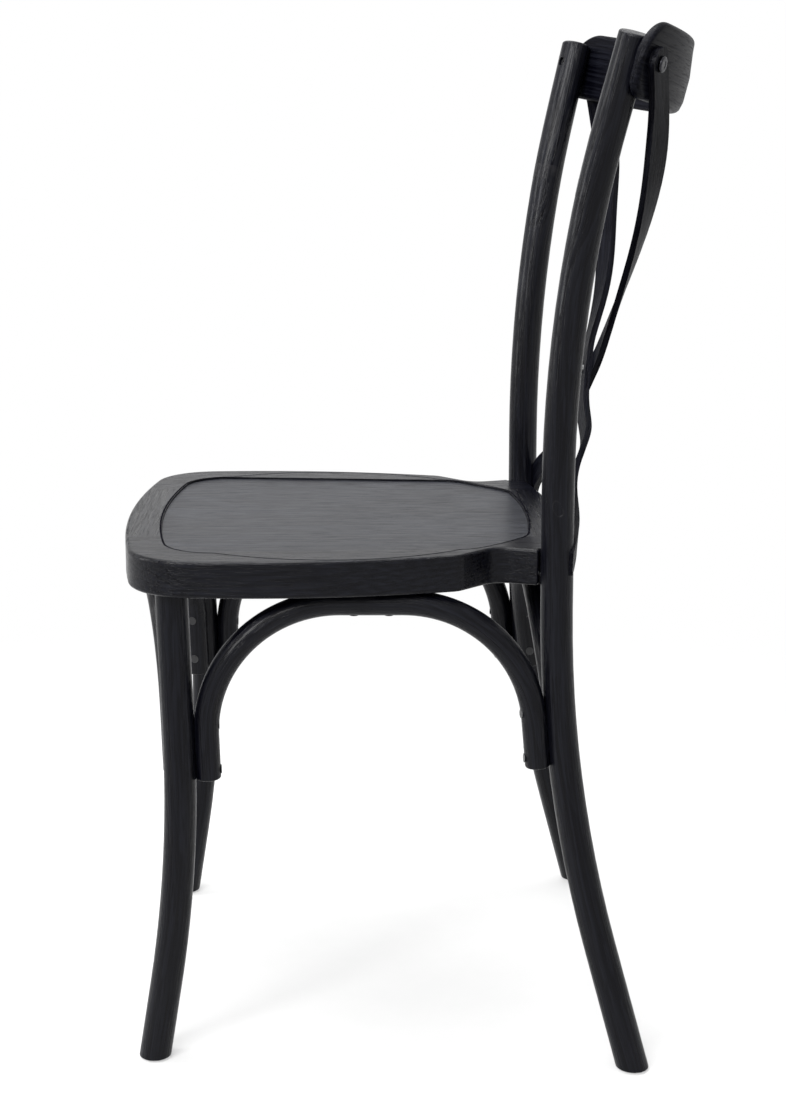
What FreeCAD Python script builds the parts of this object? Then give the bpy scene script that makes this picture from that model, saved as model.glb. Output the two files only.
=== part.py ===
import FreeCAD, Part
import Sketcher
import math
import os
from FreeCAD import Placement, Rotation, Vector

# Bentwood cross back chair. Millimetres, +Z up, the chair faces -Y, floor at Z 0.
# "Left" and "right" are the sitter's: the left side is at +X.

doc = FreeCAD.newDocument("cross_back_chair")
sheet = doc.addObject("Spreadsheet::Sheet", "Sizes")

# Driving sizes: name, value, what it is.
SIZES = [
    ("centre_y", 2.8, "shift of the whole chair, so that its box is centred"),
    # Seat ring, a flat frame around the panel
    ("seat_top", 457, "height of the ring's top face"),
    ("ring_thick", 32, "thickness of the ring"),
    ("ring_front_x", 192.2, "half width at the front corners before rounding"),
    ("ring_front_y", -233.3, "where those corners lie"),
    ("ring_front_bow", 899, "radius of the bowed front edge"),
    ("ring_side_bow", 640, "radius of the bowed side edges"),
    ("ring_front_corner", 59, "rounding of the front corners"),
    ("shoulder_x", 175.5, "where a side turns in towards the back"),
    ("shoulder_y", 42, ""),
    ("shoulder_round", 20, ""),
    ("neck_x", 143.5, "the narrow neck before the ear"),
    ("neck_y", 75, ""),
    ("neck_round", 22, ""),
    ("ear_tip_x", 155, "tip of the ear that stands before the post"),
    ("ear_tip_y", 110.5, ""),
    ("ear_round", 2, ""),
    ("notch_x", 149, "side of the notch for the post"),
    ("notch_y", 112.5, "front end of the notch"),
    ("ring_rear_y", 128.5, "rear end of the notch"),
    ("ring_rear_bow", 773, "radius of the bowed rear edge"),
    ("ring_edge_round", 3, "rounding of the ring's outer edges"),
    ("rail_joint_x", 104, "where the front and rear rails meet the side rails"),
    # Seat panel, dropped into the ring
    ("panel_thick", 12, ""),
    ("panel_drop", 2, "depth of the panel's top below the ring's top"),
    ("panel_front_x", 167, "front corners of the panel before rounding"),
    ("panel_front_y", -203.5, ""),
    ("panel_front_bow", 763, ""),
    ("panel_front_round", 42, ""),
    ("panel_side_x", 150.4, "corners where the sides turn in at the neck"),
    ("panel_side_y", 56.5, ""),
    ("panel_rear_x", 101.5, "rear corners of the panel before rounding"),
    ("panel_rear_y", 105.1, ""),
    ("panel_rear_bow", 617, ""),
    ("panel_rear_round", 34, ""),
    ("panel_gap", 0.25, "play round the panel"),
    ("ledge", 12, "width of the ledge that carries the panel"),
    # Rear legs: one bent rod each, from the floor to the crest rail
    ("rod", 28, "diameter of the legs"),
    ("post_plane", 36.7, "angle of the bending plane, from straight back to outward"),
    ("post_x", 160.5, "where the leg's lower bend is"),
    ("post_y", 128.9, ""),
    ("post_low_z", 252, "height of the lower bend"),
    ("post_high_z", 638.7, "height of the upper bend"),
    ("post_top_z", 885, "height of the post's end"),
    ("post_foot_lean", 19.18, "lean of the foot, outward going down"),
    ("post_mid_lean", 0.96, "lean of the straight part beside the seat"),
    ("post_top_lean", 12.72, "lean of the back posts"),
    ("post_tip_z", 790, "where the posts lean back a little more"),
    ("post_tip_lean", 16.2, ""),
    ("post_low_bend", 955, "radii of the bends"),
    ("post_high_bend", 1105, ""),
    ("post_tip_bend", 1200, ""),
    ("post_top_round", 2.5, ""),
    ("post_cope_gap", 0.15, "play between ring and post"),
    # Front legs
    ("leg_x", 162.9, "axis of the front leg at leg_ref_z"),
    ("leg_y", -203.9, ""),
    ("leg_ref_z", 430, ""),
    ("leg_bend_z", 183, "height of the bend"),
    ("leg_splay", 2.84, "sideways lean, outward going down"),
    ("leg_back_lean", 2.06, "lean above the bend, backward going down"),
    ("leg_foot_lean", 9.09, "lean of the foot, forward going down"),
    ("leg_bend", 1169, "radius of the bend"),
    ("tenon_dia", 18, ""),
    ("tenon_long", 16, ""),
    ("tenon_play", 0.1, ""),
    # Glides under the feet
    ("glide_thick", 2, ""),
    ("glide_dia", 20, ""),
    ("glide_pin_dia", 3, ""),
    ("glide_pin_long", 12, ""),
    ("foot_round", 1, ""),
    # Arches between the legs, bent from thinner rod
    ("arch_rod", 22, "diameter of the arches"),
    ("arch_bite", 1, "how deep a leg is let into an arch"),
    ("arch_bend", 115, "radius of the corners"),
    ("arch_seat_gap", 0.05, "play under the ring"),
    ("arch_end_round", 2, ""),
    ("front_end_z", 256, "lower ends of the arches at the front legs"),
    ("rear_end_z", 266, "lower ends of the arches at the rear legs"),
    ("side_arch_x", 168, "plane of the side arches"),
    ("front_arch_bend", 105, ""),
    ("front_arch_turn", 13, "angle by which the front arch's top is swept forward"),
    ("front_arch_top_bend", 125, ""),
    ("front_arch_side_y", -6.3, "from the leg's axis to the arch's end"),
    ("rear_arch_lean", 8.3, "forward lean of the rear arch"),
    # Crest rail, a board bent round the sitter's back
    ("crest_tilt", 12.8, ""),
    ("crest_bow", 385, "radius of the front face"),
    ("crest_thick", 9, ""),
    ("crest_low_z", 851.8, "lower and upper edge, measured square to the tilt"),
    ("crest_high_z", 914.7, ""),
    ("crest_arc", 232, "half length along the arc"),
    ("crest_top_round", 38, "rounding of the upper and lower corners"),
    ("crest_low_round", 18, ""),
    ("crest_edge_round", 2.5, ""),
    ("crest_seat", 0.8, "how deep the post is flattened for the crest rail"),
    ("crest_bolt_z", 866, "height of the bolt on the post's axis"),
    # Cross slats
    ("slat_wide", 25, ""),
    ("slat_thick", 5.5, ""),
    ("slat_foot_z", 438, "lower end"),
    ("slat_foot_turn", 8, "how far outward of straight back the foot's face is turned"),
    ("slat_foot_rise", 11, "from the lower end to the middle of the slat beside the post"),
    ("slat_bite", 5, "depth of the slot in the post for the slat"),
    ("slat_top_lean", 33, "lean of the slat's top"),
    ("slat_cross_y", 169, "the crossing"),
    ("slat_cross_z", 590, ""),
    ("slat_play", 0.05, "play between touching slats, posts and crest rail"),
    # Fasteners
    ("bolt_dia", 5, "bolts of the crest rail"),
    ("bolt_head_dia", 7.6, ""),
    ("bolt_head_long", 4, ""),
    ("bolt_head_sink", 3, "depth of the head below the post's face"),
    ("bolt_socket", 2.4, "depth of the socket in the bolt heads"),
    ("nut_dia", 10, ""),
    ("nut_long", 3.4, ""),
    ("nut_wall", 1, ""),
    ("pan_head_dia", 8, "screws below the plugs"),
    ("pan_head_long", 2.5, ""),
    ("screw_low", 8, "arch screws: height above the arch's end"),
    ("screw_pitch", 41, "from the lower screw to the upper one"),
    ("screw_stagger", 9, "how much higher those of the front and rear arch are"),
    ("arch_screw_proud", 0.6, "how far a head stands out of the arch"),
    ("top_screw_y", -33, "arch screws into the ring: middle of the side arch's top"),
    ("top_screw_pitch", 30, ""),
    ("panel_screw_front_x", 60, ""),
    ("panel_screw_rear_x", 50, ""),
    ("panel_screw_side_front", -130, ""),
    ("panel_screw_side_rear", 30, ""),
    ("wood_screw_dia", 4, "countersunk wood screws"),
    ("wood_screw_head", 8, ""),
    ("wood_screw_long", 34, ""),
    ("short_screw_long", 26, "screws through the ledge into the panel"),
    ("foot_screw_head_sink", 6, "depth of the slat screws below their plugs"),
    ("foot_screw_z", 497, ""),
    ("foot_screw_end_rise", 8, "how far above the slat's middle they end"),
    ("foot_screw_turn", 8, "how far forward of straight outward the plugs face"),
    ("rivet_dia", 4, "fastener where the slats cross"),
    ("rivet_head_dia", 8.5, ""),
    ("rivet_head_long", 1.4, ""),
    ("dowel_dia", 8, "dowels of the seat ring"),
    ("dowel_long", 40, ""),
    ("dowel_z", 434, ""),
    ("dowel_front_outer", -235.5, ""),
    ("dowel_front_inner", -219.5, ""),
    ("dowel_rear_outer", 126, ""),
    ("dowel_rear_inner", 107, ""),
    ("seat_bolt_dia", 6, "bolt from the ring into the post"),
    ("seat_bolt_head_dia", 10, ""),
    ("seat_bolt_head_long", 5, ""),
    ("seat_bolt_long", 58, ""),
    ("seat_bolt_into_post", 12, ""),
    ("insert_dia", 9, "threaded insert in the post"),
    ("insert_long", 11, ""),
]

# Sizes that follow from the driving ones.
FORMULAS = [
    ("ring_bottom", "seat_top - ring_thick"),
    ("panel_top", "seat_top - panel_drop"),
    ("panel_bottom", "panel_top - panel_thick"),
    ("rod_r", "rod / 2"),
    ("arch_r", "arch_rod / 2"),
    ("arch_top_z", "ring_bottom - arch_r - arch_seat_gap"),
    ("post_foot_reach", "tan(post_foot_lean) * post_low_z"),
    ("post_high_reach", "-tan(post_mid_lean) * (post_high_z - post_low_z)"),
    ("post_tip_reach", "post_high_reach + tan(post_top_lean) * (post_tip_z - post_high_z)"),
    ("post_top_reach", "post_tip_reach + tan(post_tip_lean) * (post_top_z - post_tip_z)"),
    ("leg_rise", "(leg_ref_z - leg_bend_z) / cos(leg_splay)"),
    ("leg_drop", "leg_bend_z / cos(leg_splay)"),
    ("leg_over", "60"),
    ("crest_z", "crest_high_z - crest_low_z"),
]

for number, (alias, value, note) in enumerate(SIZES, start=1):
    sheet.set("A%d" % number, alias)
    sheet.set("B%d" % number, str(value))
    sheet.set("C%d" % number, note)
    sheet.setAlias("B%d" % number, alias)
for number, (alias, formula) in enumerate(FORMULAS, start=len(SIZES) + 1):
    sheet.set("A%d" % number, alias)
    sheet.set("B%d" % number, "=" + formula)
    sheet.setAlias("B%d" % number, alias)
doc.recompute()


def size(alias):
    """The value of one named size."""
    return float(getattr(sheet, alias))


def bind(alias_formula):
    """A formula in the sheet's names, made readable from another object."""
    words = [alias for alias, *rest in SIZES] + [alias for alias, rest in FORMULAS]
    text = ""
    word = ""
    for letter in alias_formula + " ":
        if letter.isalnum() or letter == "_":
            word += letter
            continue
        text += ("Sizes." + word if word in words else word) + letter
        word = ""
    return text.strip()


def value_of(formula):
    """The number that a formula in the sheet's names gives."""
    return float(sheet.evalExpression(bind(formula)))


def origin_plane(body, role):
    """One of the three base planes of a body."""
    return [plane for plane in body.Origin.OriginFeatures if plane.Role == role][0]


def new_body(name):
    return doc.addObject("PartDesign::Body", name)


def new_sketch(body, name, plane):
    sketch = body.newObject("Sketcher::SketchObject", name)
    sketch.AttachmentSupport = [(origin_plane(body, plane), "")]
    sketch.MapMode = "FlatFace"
    return sketch


def pin_point(sketch, geo, pos, formulas):
    """Tie a point of a sketch to two formulas, one per direction."""
    for kind, formula in zip(("DistanceX", "DistanceY"), formulas):
        value = value_of(formula)
        if abs(value) < 1e-9 and formula.strip() in ("0", "0.0"):
            on_axis = -2 if kind == "DistanceX" else -1
            sketch.addConstraint(Sketcher.Constraint("PointOnObject", geo, pos, on_axis))
            continue
        if value >= 0:
            index = sketch.addConstraint(Sketcher.Constraint(kind, -1, 1, geo, pos, value))
            sketch.setExpression("Constraints[%d]" % index, bind(formula))
        else:
            index = sketch.addConstraint(Sketcher.Constraint(kind, geo, pos, -1, 1, -value))
            sketch.setExpression("Constraints[%d]" % index, "-(%s)" % bind(formula))


def closed_outline(sketch, corners, bows=None):
    """A closed outline through the corners; bows gives the radius of a curved side by its number."""
    bows = bows or {}
    points = [Vector(value_of(x), value_of(y), 0) for x, y in corners]
    count = len(points)
    ends = []
    for side in range(count):
        begin, end = points[side], points[(side + 1) % count]
        if side in bows:
            radius = value_of(bows[side])
            half = (end - begin).Length / 2
            sag = radius - math.sqrt(radius ** 2 - half ** 2)
            outward = Vector(end.y - begin.y, begin.x - end.x, 0).normalize()
            middle = (begin + end) / 2 + outward * sag
            geo = sketch.addGeometry(Part.Arc(begin, middle, end), False)
            swapped = (sketch.getPoint(geo, 1) - begin).Length > 1e-6
            ends.append((geo, 2, 1) if swapped else (geo, 1, 2))
        else:
            geo = sketch.addGeometry(Part.LineSegment(begin, end), False)
            ends.append((geo, 1, 2))
    for side in range(count):
        geo, first, last = ends[side]
        following = ends[(side + 1) % count]
        sketch.addConstraint(
            Sketcher.Constraint("Coincident", geo, last, following[0], following[1]))
    for side in range(count):
        geo, first, last = ends[side]
        pin_point(sketch, geo, first, corners[side])
        if side in bows:
            index = sketch.addConstraint(
                Sketcher.Constraint("Radius", geo, value_of(bows[side])))
            sketch.setExpression("Constraints[%d]" % index, bind(bows[side]))


def mirrored(half):
    """The corners of a half outline (all at +X), followed by their mirror images."""
    return half + [("-(%s)" % x, y) for x, y in reversed(half)]


def round_edges(body, edges, radius):
    """Round some edges of a body's last feature."""
    base = body.Tip
    fillet = body.newObject("PartDesign::Fillet", body.Name + "_round")
    fillet.Base = (base, ["Edge%d" % (number + 1) for number in edges])
    fillet.setExpression("Radius", bind(radius))
    body.Tip = fillet
    doc.recompute()
    return fillet


def edge_numbers(shape, wanted):
    """Numbers of the edges for which wanted(edge) is true."""
    return [number for number, edge in enumerate(shape.Edges) if wanted(edge)]


def upright_at(points):
    """A test for upright edges that stand at one of the points."""
    def wanted(edge):
        ends = [vertex.Point for vertex in edge.Vertexes]
        if len(ends) != 2 or abs(ends[0].x - ends[1].x) + abs(ends[0].y - ends[1].y) > 1e-4:
            return False
        return any(math.hypot(ends[0].x - x, ends[0].y - y) < 0.01 for x, y in points)
    return wanted


def padded_block(name, corners, bows, height, rounded):
    """A flat block: outline, pad, and rounded upright corners."""
    body = new_body(name)
    sketch = new_sketch(body, name + "_outline", "XY_Plane")
    closed_outline(sketch, corners, bows)
    pad = body.newObject("PartDesign::Pad", name + "_pad")
    pad.Profile = sketch
    pad.setExpression("Length", bind(height))
    doc.recompute()
    for radius, places in rounded:
        points = [(sign * value_of(x), value_of(y)) for x, y in places for sign in (1, -1)]
        round_edges(body, edge_numbers(body.Tip.Shape, upright_at(points)), radius)
    return body


def turned_body(name, profile):
    """A solid of revolution about Z from a profile of (radius, height) formulas."""
    body = new_body(name)
    sketch = new_sketch(body, name + "_profile", "XZ_Plane")
    closed_outline(sketch, profile)
    turn = body.newObject("PartDesign::Revolution", name + "_turn")
    turn.Profile = sketch
    turn.ReferenceAxis = (sketch, ["V_Axis"])
    turn.Angle = 360
    doc.recompute()
    return body


def rod_path(body, corners, bends):
    """An open path in the body's XZ plane: straight parts joined by bends of given radius."""
    sketch = new_sketch(body, body.Name + "_path", "XZ_Plane")
    points = [Vector(value_of(x), value_of(y), 0) for x, y in corners]
    guides = []
    for number in range(len(points) - 1):
        guides.append(sketch.addGeometry(
            Part.LineSegment(points[number], points[number + 1]), True))
    for number, guide in enumerate(guides):
        pin_point(sketch, guide, 1, corners[number])
        if number:
            sketch.addConstraint(
                Sketcher.Constraint("Coincident", guides[number - 1], 2, guide, 1))
    pin_point(sketch, guides[-1], 2, corners[-1])
    cuts = [0.0]
    for number, bend in enumerate(bends, start=1):
        before = (points[number] - points[number - 1]).normalize()
        after = (points[number + 1] - points[number]).normalize()
        cuts.append(value_of(bend) * math.tan(before.getAngle(after) / 2))
    cuts.append(0.0)
    lines = []
    for number in range(len(points) - 1):
        along = (points[number + 1] - points[number]).normalize()
        begin = points[number] + along * cuts[number]
        end = points[number + 1] - along * cuts[number + 1]
        lines.append(sketch.addGeometry(Part.LineSegment(begin, end), False))
    for number, bend in enumerate(bends, start=1):
        radius = value_of(bend)
        begin = sketch.getPoint(lines[number - 1], 2)
        end = sketch.getPoint(lines[number], 1)
        corner = points[number]
        towards = ((begin + end) / 2 - corner).normalize()
        centre_far = math.hypot(radius, cuts[number])
        middle = corner + towards * (centre_far - radius)
        arc = sketch.addGeometry(Part.Arc(begin, middle, end), False)
        first, last = (1, 2) if (sketch.getPoint(arc, 1) - begin).Length < 1e-6 else (2, 1)
        sketch.addConstraint(Sketcher.Constraint("Tangent", lines[number - 1], 2, arc, first))
        sketch.addConstraint(Sketcher.Constraint("Tangent", lines[number], 1, arc, last))
        index = sketch.addConstraint(Sketcher.Constraint("Radius", arc, radius))
        sketch.setExpression("Constraints[%d]" % index, bind(bend))
    for number, line in enumerate(lines):
        guide = guides[number]
        if number == 0:
            sketch.addConstraint(Sketcher.Constraint("Coincident", line, 1, guide, 1))
        else:
            sketch.addConstraint(Sketcher.Constraint("PointOnObject", line, 1, guide))
        if number == len(lines) - 1:
            sketch.addConstraint(Sketcher.Constraint("Coincident", line, 2, guide, 2))
        else:
            sketch.addConstraint(Sketcher.Constraint("PointOnObject", line, 2, guide))
    return sketch


def bent_rod(name, corners, bends, radius, end_round=None):
    """A round rod bent along a path in the body's XZ plane."""
    body = new_body(name)
    path = rod_path(body, corners, bends)
    doc.recompute()
    ring = body.newObject("Sketcher::SketchObject", name + "_section")
    ring.AttachmentSupport = [(path, "Edge1")]
    ring.MapMode = "NormalToEdge"
    circle = ring.addGeometry(Part.Circle(Vector(0, 0, 0), Vector(0, 0, 1), size(radius)), False)
    ring.addConstraint(Sketcher.Constraint("Coincident", circle, 3, -1, 1))
    index = ring.addConstraint(Sketcher.Constraint("Radius", circle, size(radius)))
    ring.setExpression("Constraints[%d]" % index, bind(radius))
    pipe = body.newObject("PartDesign::AdditivePipe", name + "_rod")
    pipe.Profile = ring
    pipe.Spine = path
    doc.recompute()
    if end_round:
        ends = [Vector(value_of(x), 0, value_of(y)) for x, y in (corners[0], corners[-1])]
        places = [end for end, wanted in zip(ends, end_round[1]) if wanted]
        reach = size(radius) * 1.01
        edges = edge_numbers(pipe.Shape, lambda edge: edge.isClosed() and any(
            (edge.BoundBox.Center - place).Length < reach * 0.2 for place in places))
        round_edges(body, edges, end_round[0])
    return body


def cut(name, base, tools):
    """Take the tools away from the base."""
    if len(tools) > 1:
        tool = doc.addObject("Part::Compound", name + "_tools")
        tool.Links = tools
    else:
        tool = tools[0]
    result = doc.addObject("Part::Cut", name)
    result.Base = base
    result.Tool = tool
    doc.recompute()
    return result


def common(name, base, tool):
    result = doc.addObject("Part::Common", name)
    result.Base = base
    result.Tool = tool
    doc.recompute()
    return result


def fused(name, shapes):
    result = doc.addObject("Part::MultiFuse", name)
    result.Shapes = shapes
    doc.recompute()
    return result


def cylinder(name, radius, height, begin, along):
    """A cylinder that starts at a point and runs along a direction."""
    result = doc.addObject("Part::Cylinder", name)
    result.setExpression("Radius", bind(radius))
    result.setExpression("Height", bind(height))
    result.Placement = Placement(begin, Rotation(Vector(0, 0, 1), along))
    doc.recompute()
    return result


def box(name, corner, sizes):
    result = doc.addObject("Part::Box", name)
    result.Length, result.Width, result.Height = sizes
    result.Placement.Base = Vector(*corner)
    doc.recompute()
    return result


def copies(name, master, places):
    """One node of separate equal solids: the master at each place."""
    result = doc.addObject("Part::Feature", name)
    shapes = []
    for begin, along in places:
        shape = master.Shape.copy()
        shape.Placement = Placement(begin, Rotation(Vector(0, 0, 1), along)) * shape.Placement
        shapes.append(shape)
    result.Shape = Part.makeCompound(shapes)
    return result


def side(point, sign):
    """A point or direction, mirrored to the right side when sign is -1."""
    return Vector(point.x * sign, point.y, point.z)


SIDES = (("left", 1), ("right", -1))
CROSSING_STATION = 6  # index of the crossing in the list of a slat's stations
UP = Vector(0, 0, 1)


# Legs

def post_reach(height):
    """How far the axis of a rear leg's straight parts is from the lower bend, along the bending plane."""
    if height < size("post_low_z"):
        return math.tan(math.radians(size("post_foot_lean"))) * (size("post_low_z") - height)
    if height < size("post_high_z"):
        return -math.tan(math.radians(size("post_mid_lean"))) * (height - size("post_low_z"))
    if height < size("post_tip_z"):
        lean = math.tan(math.radians(size("post_top_lean")))
        return size("post_high_reach") + lean * (height - size("post_high_z"))
    lean = math.tan(math.radians(size("post_tip_lean")))
    return size("post_tip_reach") + lean * (height - size("post_tip_z"))


def post_axis(height):
    """Point on the axis of the left rear leg, with its lower bend taken as an arc."""
    reach = post_reach(height)
    radius = size("post_low_bend")
    foot = math.radians(size("post_foot_lean"))
    mid = math.radians(size("post_mid_lean"))
    tangent = radius * math.tan((foot - mid) / 2)
    arc_low = size("post_low_z") - tangent * math.cos(foot)
    arc_high = size("post_low_z") + tangent * math.cos(mid)
    if arc_low < height < arc_high:
        centre_reach = tangent * math.sin(foot) + radius * math.cos(foot)
        centre_z = arc_low + radius * math.sin(foot)
        reach = centre_reach - math.sqrt(radius ** 2 - (height - centre_z) ** 2)
    plane = math.radians(size("post_plane"))
    return Vector(size("post_x") + reach * math.sin(plane),
                  size("post_y") + reach * math.cos(plane), height)


def rear_leg_rod(name, sign):
    corners = [
        ("post_foot_reach + leg_over * tan(post_foot_lean)", "-leg_over"),
        ("0", "post_low_z"),
        ("post_high_reach", "post_high_z"),
        ("post_tip_reach", "post_tip_z"),
        ("post_top_reach", "post_top_z"),
    ]
    body = bent_rod(name, corners, ["post_low_bend", "post_high_bend", "post_tip_bend"], "rod_r",
                    ("post_top_round", (False, True)))
    turn = 90 - sign * size("post_plane")
    body.Placement = Placement(Vector(sign * size("post_x"), size("post_y"), 0),
                               Rotation(UP, turn))
    doc.recompute()
    return body


def leg_axis(height):
    """Point on the axis of the left front leg, above its bend."""
    down = size("leg_ref_z") - height
    return Vector(size("leg_x") + down * math.tan(math.radians(size("leg_splay"))),
                  size("leg_y") + down * math.tan(math.radians(size("leg_back_lean"))), height)


def front_leg_rod(name, sign):
    """The rod's own plane is YZ, tipped by the splay; its path is drawn in XZ and turned to it."""
    back = "leg_rise * tan(leg_back_lean)"
    corners = [
        ("%s - (leg_drop + leg_over) * tan(leg_foot_lean)" % back,
         "-(leg_rise + leg_drop + leg_over)"),
        (back, "-leg_rise"),
        ("-leg_over * tan(leg_back_lean)", "leg_over"),
    ]
    body = bent_rod(name, corners, ["leg_bend"], "rod_r")
    splay = Rotation(Vector(0, 1, 0), -sign * size("leg_splay"))
    body.Placement = Placement(
        Vector(sign * size("leg_x"), size("leg_y"), size("leg_ref_z")),
        splay * Rotation(UP, 90))
    doc.recompute()
    return body


def leg_direction(sign):
    """Direction of the front leg's upper part, going up."""
    along = leg_axis(size("leg_ref_z")) - leg_axis(size("leg_ref_z") - 100)
    return side(along.normalize(), sign)


def front_leg(label, rod, sign):
    """The rod cut level at the glide and at the seat, with a round tenon on top."""
    reach = 600
    level = box(label + "_level", (-reach, -reach, size("glide_thick")),
                (2 * reach, 2 * reach, size("ring_bottom") - size("glide_thick")))
    shaft = common(label + "_shaft", rod, level)
    start = side(leg_axis(size("ring_bottom") - 20), sign)
    tenon = cylinder(label + "_tenon_bar", "tenon_dia / 2", "20 + tenon_long + 10", start,
                     leg_direction(sign))
    top = box(label + "_tenon_level", (-reach, -reach, 0),
              (2 * reach, 2 * reach, size("ring_bottom") + size("tenon_long")))
    tenon = common(label + "_tenon", tenon, top)
    return fused(label + "_whole", [shaft, tenon])


def foot_edge_round(label, base):
    """Round the edge of a foot."""
    low = size("glide_thick")
    edges = edge_numbers(base.Shape, lambda edge: abs(edge.BoundBox.ZMax - low) < 1e-3)
    rounded = doc.addObject("Part::Fillet", label)
    rounded.Base = base
    radius = size("foot_round")
    rounded.Edges = [(number + 1, radius, radius) for number in edges]
    doc.recompute()
    return rounded


# Arches

def side_arch_rod(name, sign):
    """In its own plane: along Y of the chair, from the front leg to the rear leg."""
    contact = size("rod_r") + size("arch_r") - size("arch_bite")
    front_low = leg_axis(size("front_end_z"))
    front_high = leg_axis(size("front_end_z") + size("arch_rod") * 2)
    rear_low = post_axis(size("rear_end_z"))
    rear_high = post_axis(size("rear_end_z") + size("arch_rod") * 2)
    plane_x = size("side_arch_x")

    def beside(axis, way):
        """Y of the arch's axis where it touches the leg."""
        return axis.y + way * math.sqrt(contact ** 2 - (axis.x - plane_x) ** 2)

    def line_at_top(low, low_y, high, high_y):
        slope = (high_y - low_y) / (high.z - low.z)
        return low_y + slope * (size("arch_top_z") - low.z)

    y_values = [beside(front_low, 1), beside(front_high, 1), beside(rear_low, -1),
                beside(rear_high, -1)]
    front_top = line_at_top(front_low, y_values[0], front_high, y_values[1])
    rear_top = line_at_top(rear_low, y_values[2], rear_high, y_values[3])
    corners = [
        ("%.6f" % y_values[0], "front_end_z"),
        ("%.6f" % front_top, "arch_top_z"),
        ("%.6f" % rear_top, "arch_top_z"),
        ("%.6f" % y_values[2], "rear_end_z"),
    ]
    body = bent_rod(name, corners, ["arch_bend", "arch_bend"], "arch_r",
                    ("arch_end_round", (True, True)))
    body.Placement = Placement(Vector(sign * plane_x, 0, 0), Rotation(UP, 90))
    doc.recompute()
    return body


def rear_arch_rod(name):
    """Its own plane stands across the chair and leans forward."""
    contact = size("rod_r") + size("arch_r") - size("arch_bite")
    low = post_axis(size("rear_end_z"))
    high = post_axis(size("rear_end_z") + size("arch_rod") * 2)
    slope = (high.x - low.x) / (high.z - low.z)
    lean = math.radians(size("rear_arch_lean"))
    top_x = low.x - contact + slope * (size("arch_top_z") - low.z)
    low_u = 0.0
    top_u = (size("arch_top_z") - low.z) / math.cos(lean)
    corners = [
        ("%.6f" % (low.x - contact), "%.6f" % low_u),
        ("%.6f" % top_x, "%.6f" % top_u),
        ("%.6f" % -top_x, "%.6f" % top_u),
        ("%.6f" % (contact - low.x), "%.6f" % low_u),
    ]
    body = bent_rod(name, corners, ["arch_bend", "arch_bend"], "arch_r",
                    ("arch_end_round", (True, True)))
    body.Placement = Placement(Vector(0, low.y, low.z),
                               Rotation(Vector(1, 0, 0), size("rear_arch_lean")))
    doc.recompute()
    return body


def rounded_path(points, radii):
    """A wire of straight parts, with an arc of the given radius at each inner corner."""
    edges = []
    begin = points[0]
    for number, radius in enumerate(radii, start=1):
        corner = points[number]
        before = (corner - points[number - 1]).normalize()
        after = (points[number + 1] - corner).normalize()
        half_turn = before.getAngle(after) / 2
        reach = radius * math.tan(half_turn)
        first = corner - before * reach
        last = corner + after * reach
        towards = (after - before).normalize()
        middle = corner + towards * (radius / math.cos(half_turn) - radius)
        if (first - begin).Length > 1e-6:
            edges.append(Part.LineSegment(begin, first).toShape())
        edges.append(Part.Arc(first, middle, last).toShape())
        begin = last
    edges.append(Part.LineSegment(begin, points[-1]).toShape())
    return Part.Wire(edges)


def front_arch_points():
    """Corners of the front arch's axis, from the left leg to the right leg."""
    contact = size("rod_r") + size("arch_r") - size("arch_bite")
    offset_y = size("front_arch_side_y")
    offset = Vector(-math.sqrt(contact ** 2 - offset_y ** 2), offset_y, 0)
    low = leg_axis(size("front_end_z")) + offset
    top = leg_axis(size("arch_top_z")) + offset
    turn = math.radians(size("front_arch_turn"))
    middle = Vector(0, top.y - top.x * math.tan(turn), top.z)
    return [low, top, middle, side(top, -1), side(low, -1)]


def front_arch_rod(name):
    """A rod bent in space: its ends follow the legs, its top follows the bowed front rail."""
    points = front_arch_points()
    bend = size("front_arch_bend")
    wire = rounded_path(points, [bend, size("front_arch_top_bend"), bend])
    along = (points[1] - points[0]).normalize()
    circle = Part.Wire(Part.makeCircle(size("arch_r"), points[0], along))
    rod = wire.makePipeShell([circle], True, False)
    ends = [edge for edge in rod.Edges if edge.isClosed() and any(
        (edge.BoundBox.Center - place).Length < 1 for place in (points[0], points[-1]))]
    result = doc.addObject("Part::Feature", name)
    result.Shape = rod.makeFillet(size("arch_end_round"), ends)
    return result


# Seat

RING_HALF = [
    ("ring_front_x", "ring_front_y"),
    ("shoulder_x", "shoulder_y"),
    ("neck_x", "neck_y"),
    ("ear_tip_x", "ear_tip_y"),
    ("notch_x", "notch_y"),
    ("notch_x", "ring_rear_y"),
]
PANEL_HALF = [
    ("panel_front_x", "panel_front_y"),
    ("panel_side_x", "panel_side_y"),
    ("panel_rear_x", "panel_rear_y"),
]


def panel_corners(grow):
    """The panel's half outline, grown outward by a formula."""
    ways = [("+", "-"), ("+", "+"), ("+", "+")]
    shares = [(1, 1), (1, 0.41), (0.41, 1)]
    half = []
    for (x, y), (way_x, way_y), (share_x, share_y) in zip(PANEL_HALF, ways, shares):
        half.append(("%s %s %s * (%s)" % (x, way_x, share_x, grow),
                     "%s %s %s * (%s)" % (y, way_y, share_y, grow)))
    return half


def panel_block(name, grow, bottom, height):
    """A block with the panel's outline, used for the panel, its recess and the opening below it."""
    half = panel_corners(grow)
    rounded = [
        ("panel_front_round + (%s)" % grow, half[:1]),
        ("panel_rear_round + (%s)" % grow, half[1:]),
    ]
    bows = {2: "panel_rear_bow + (%s)" % grow, 5: "panel_front_bow + (%s)" % grow}
    body = padded_block(name, mirrored(half), bows, height, rounded)
    body.setExpression("Placement.Base.z", bind(bottom))
    doc.recompute()
    return body


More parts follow.
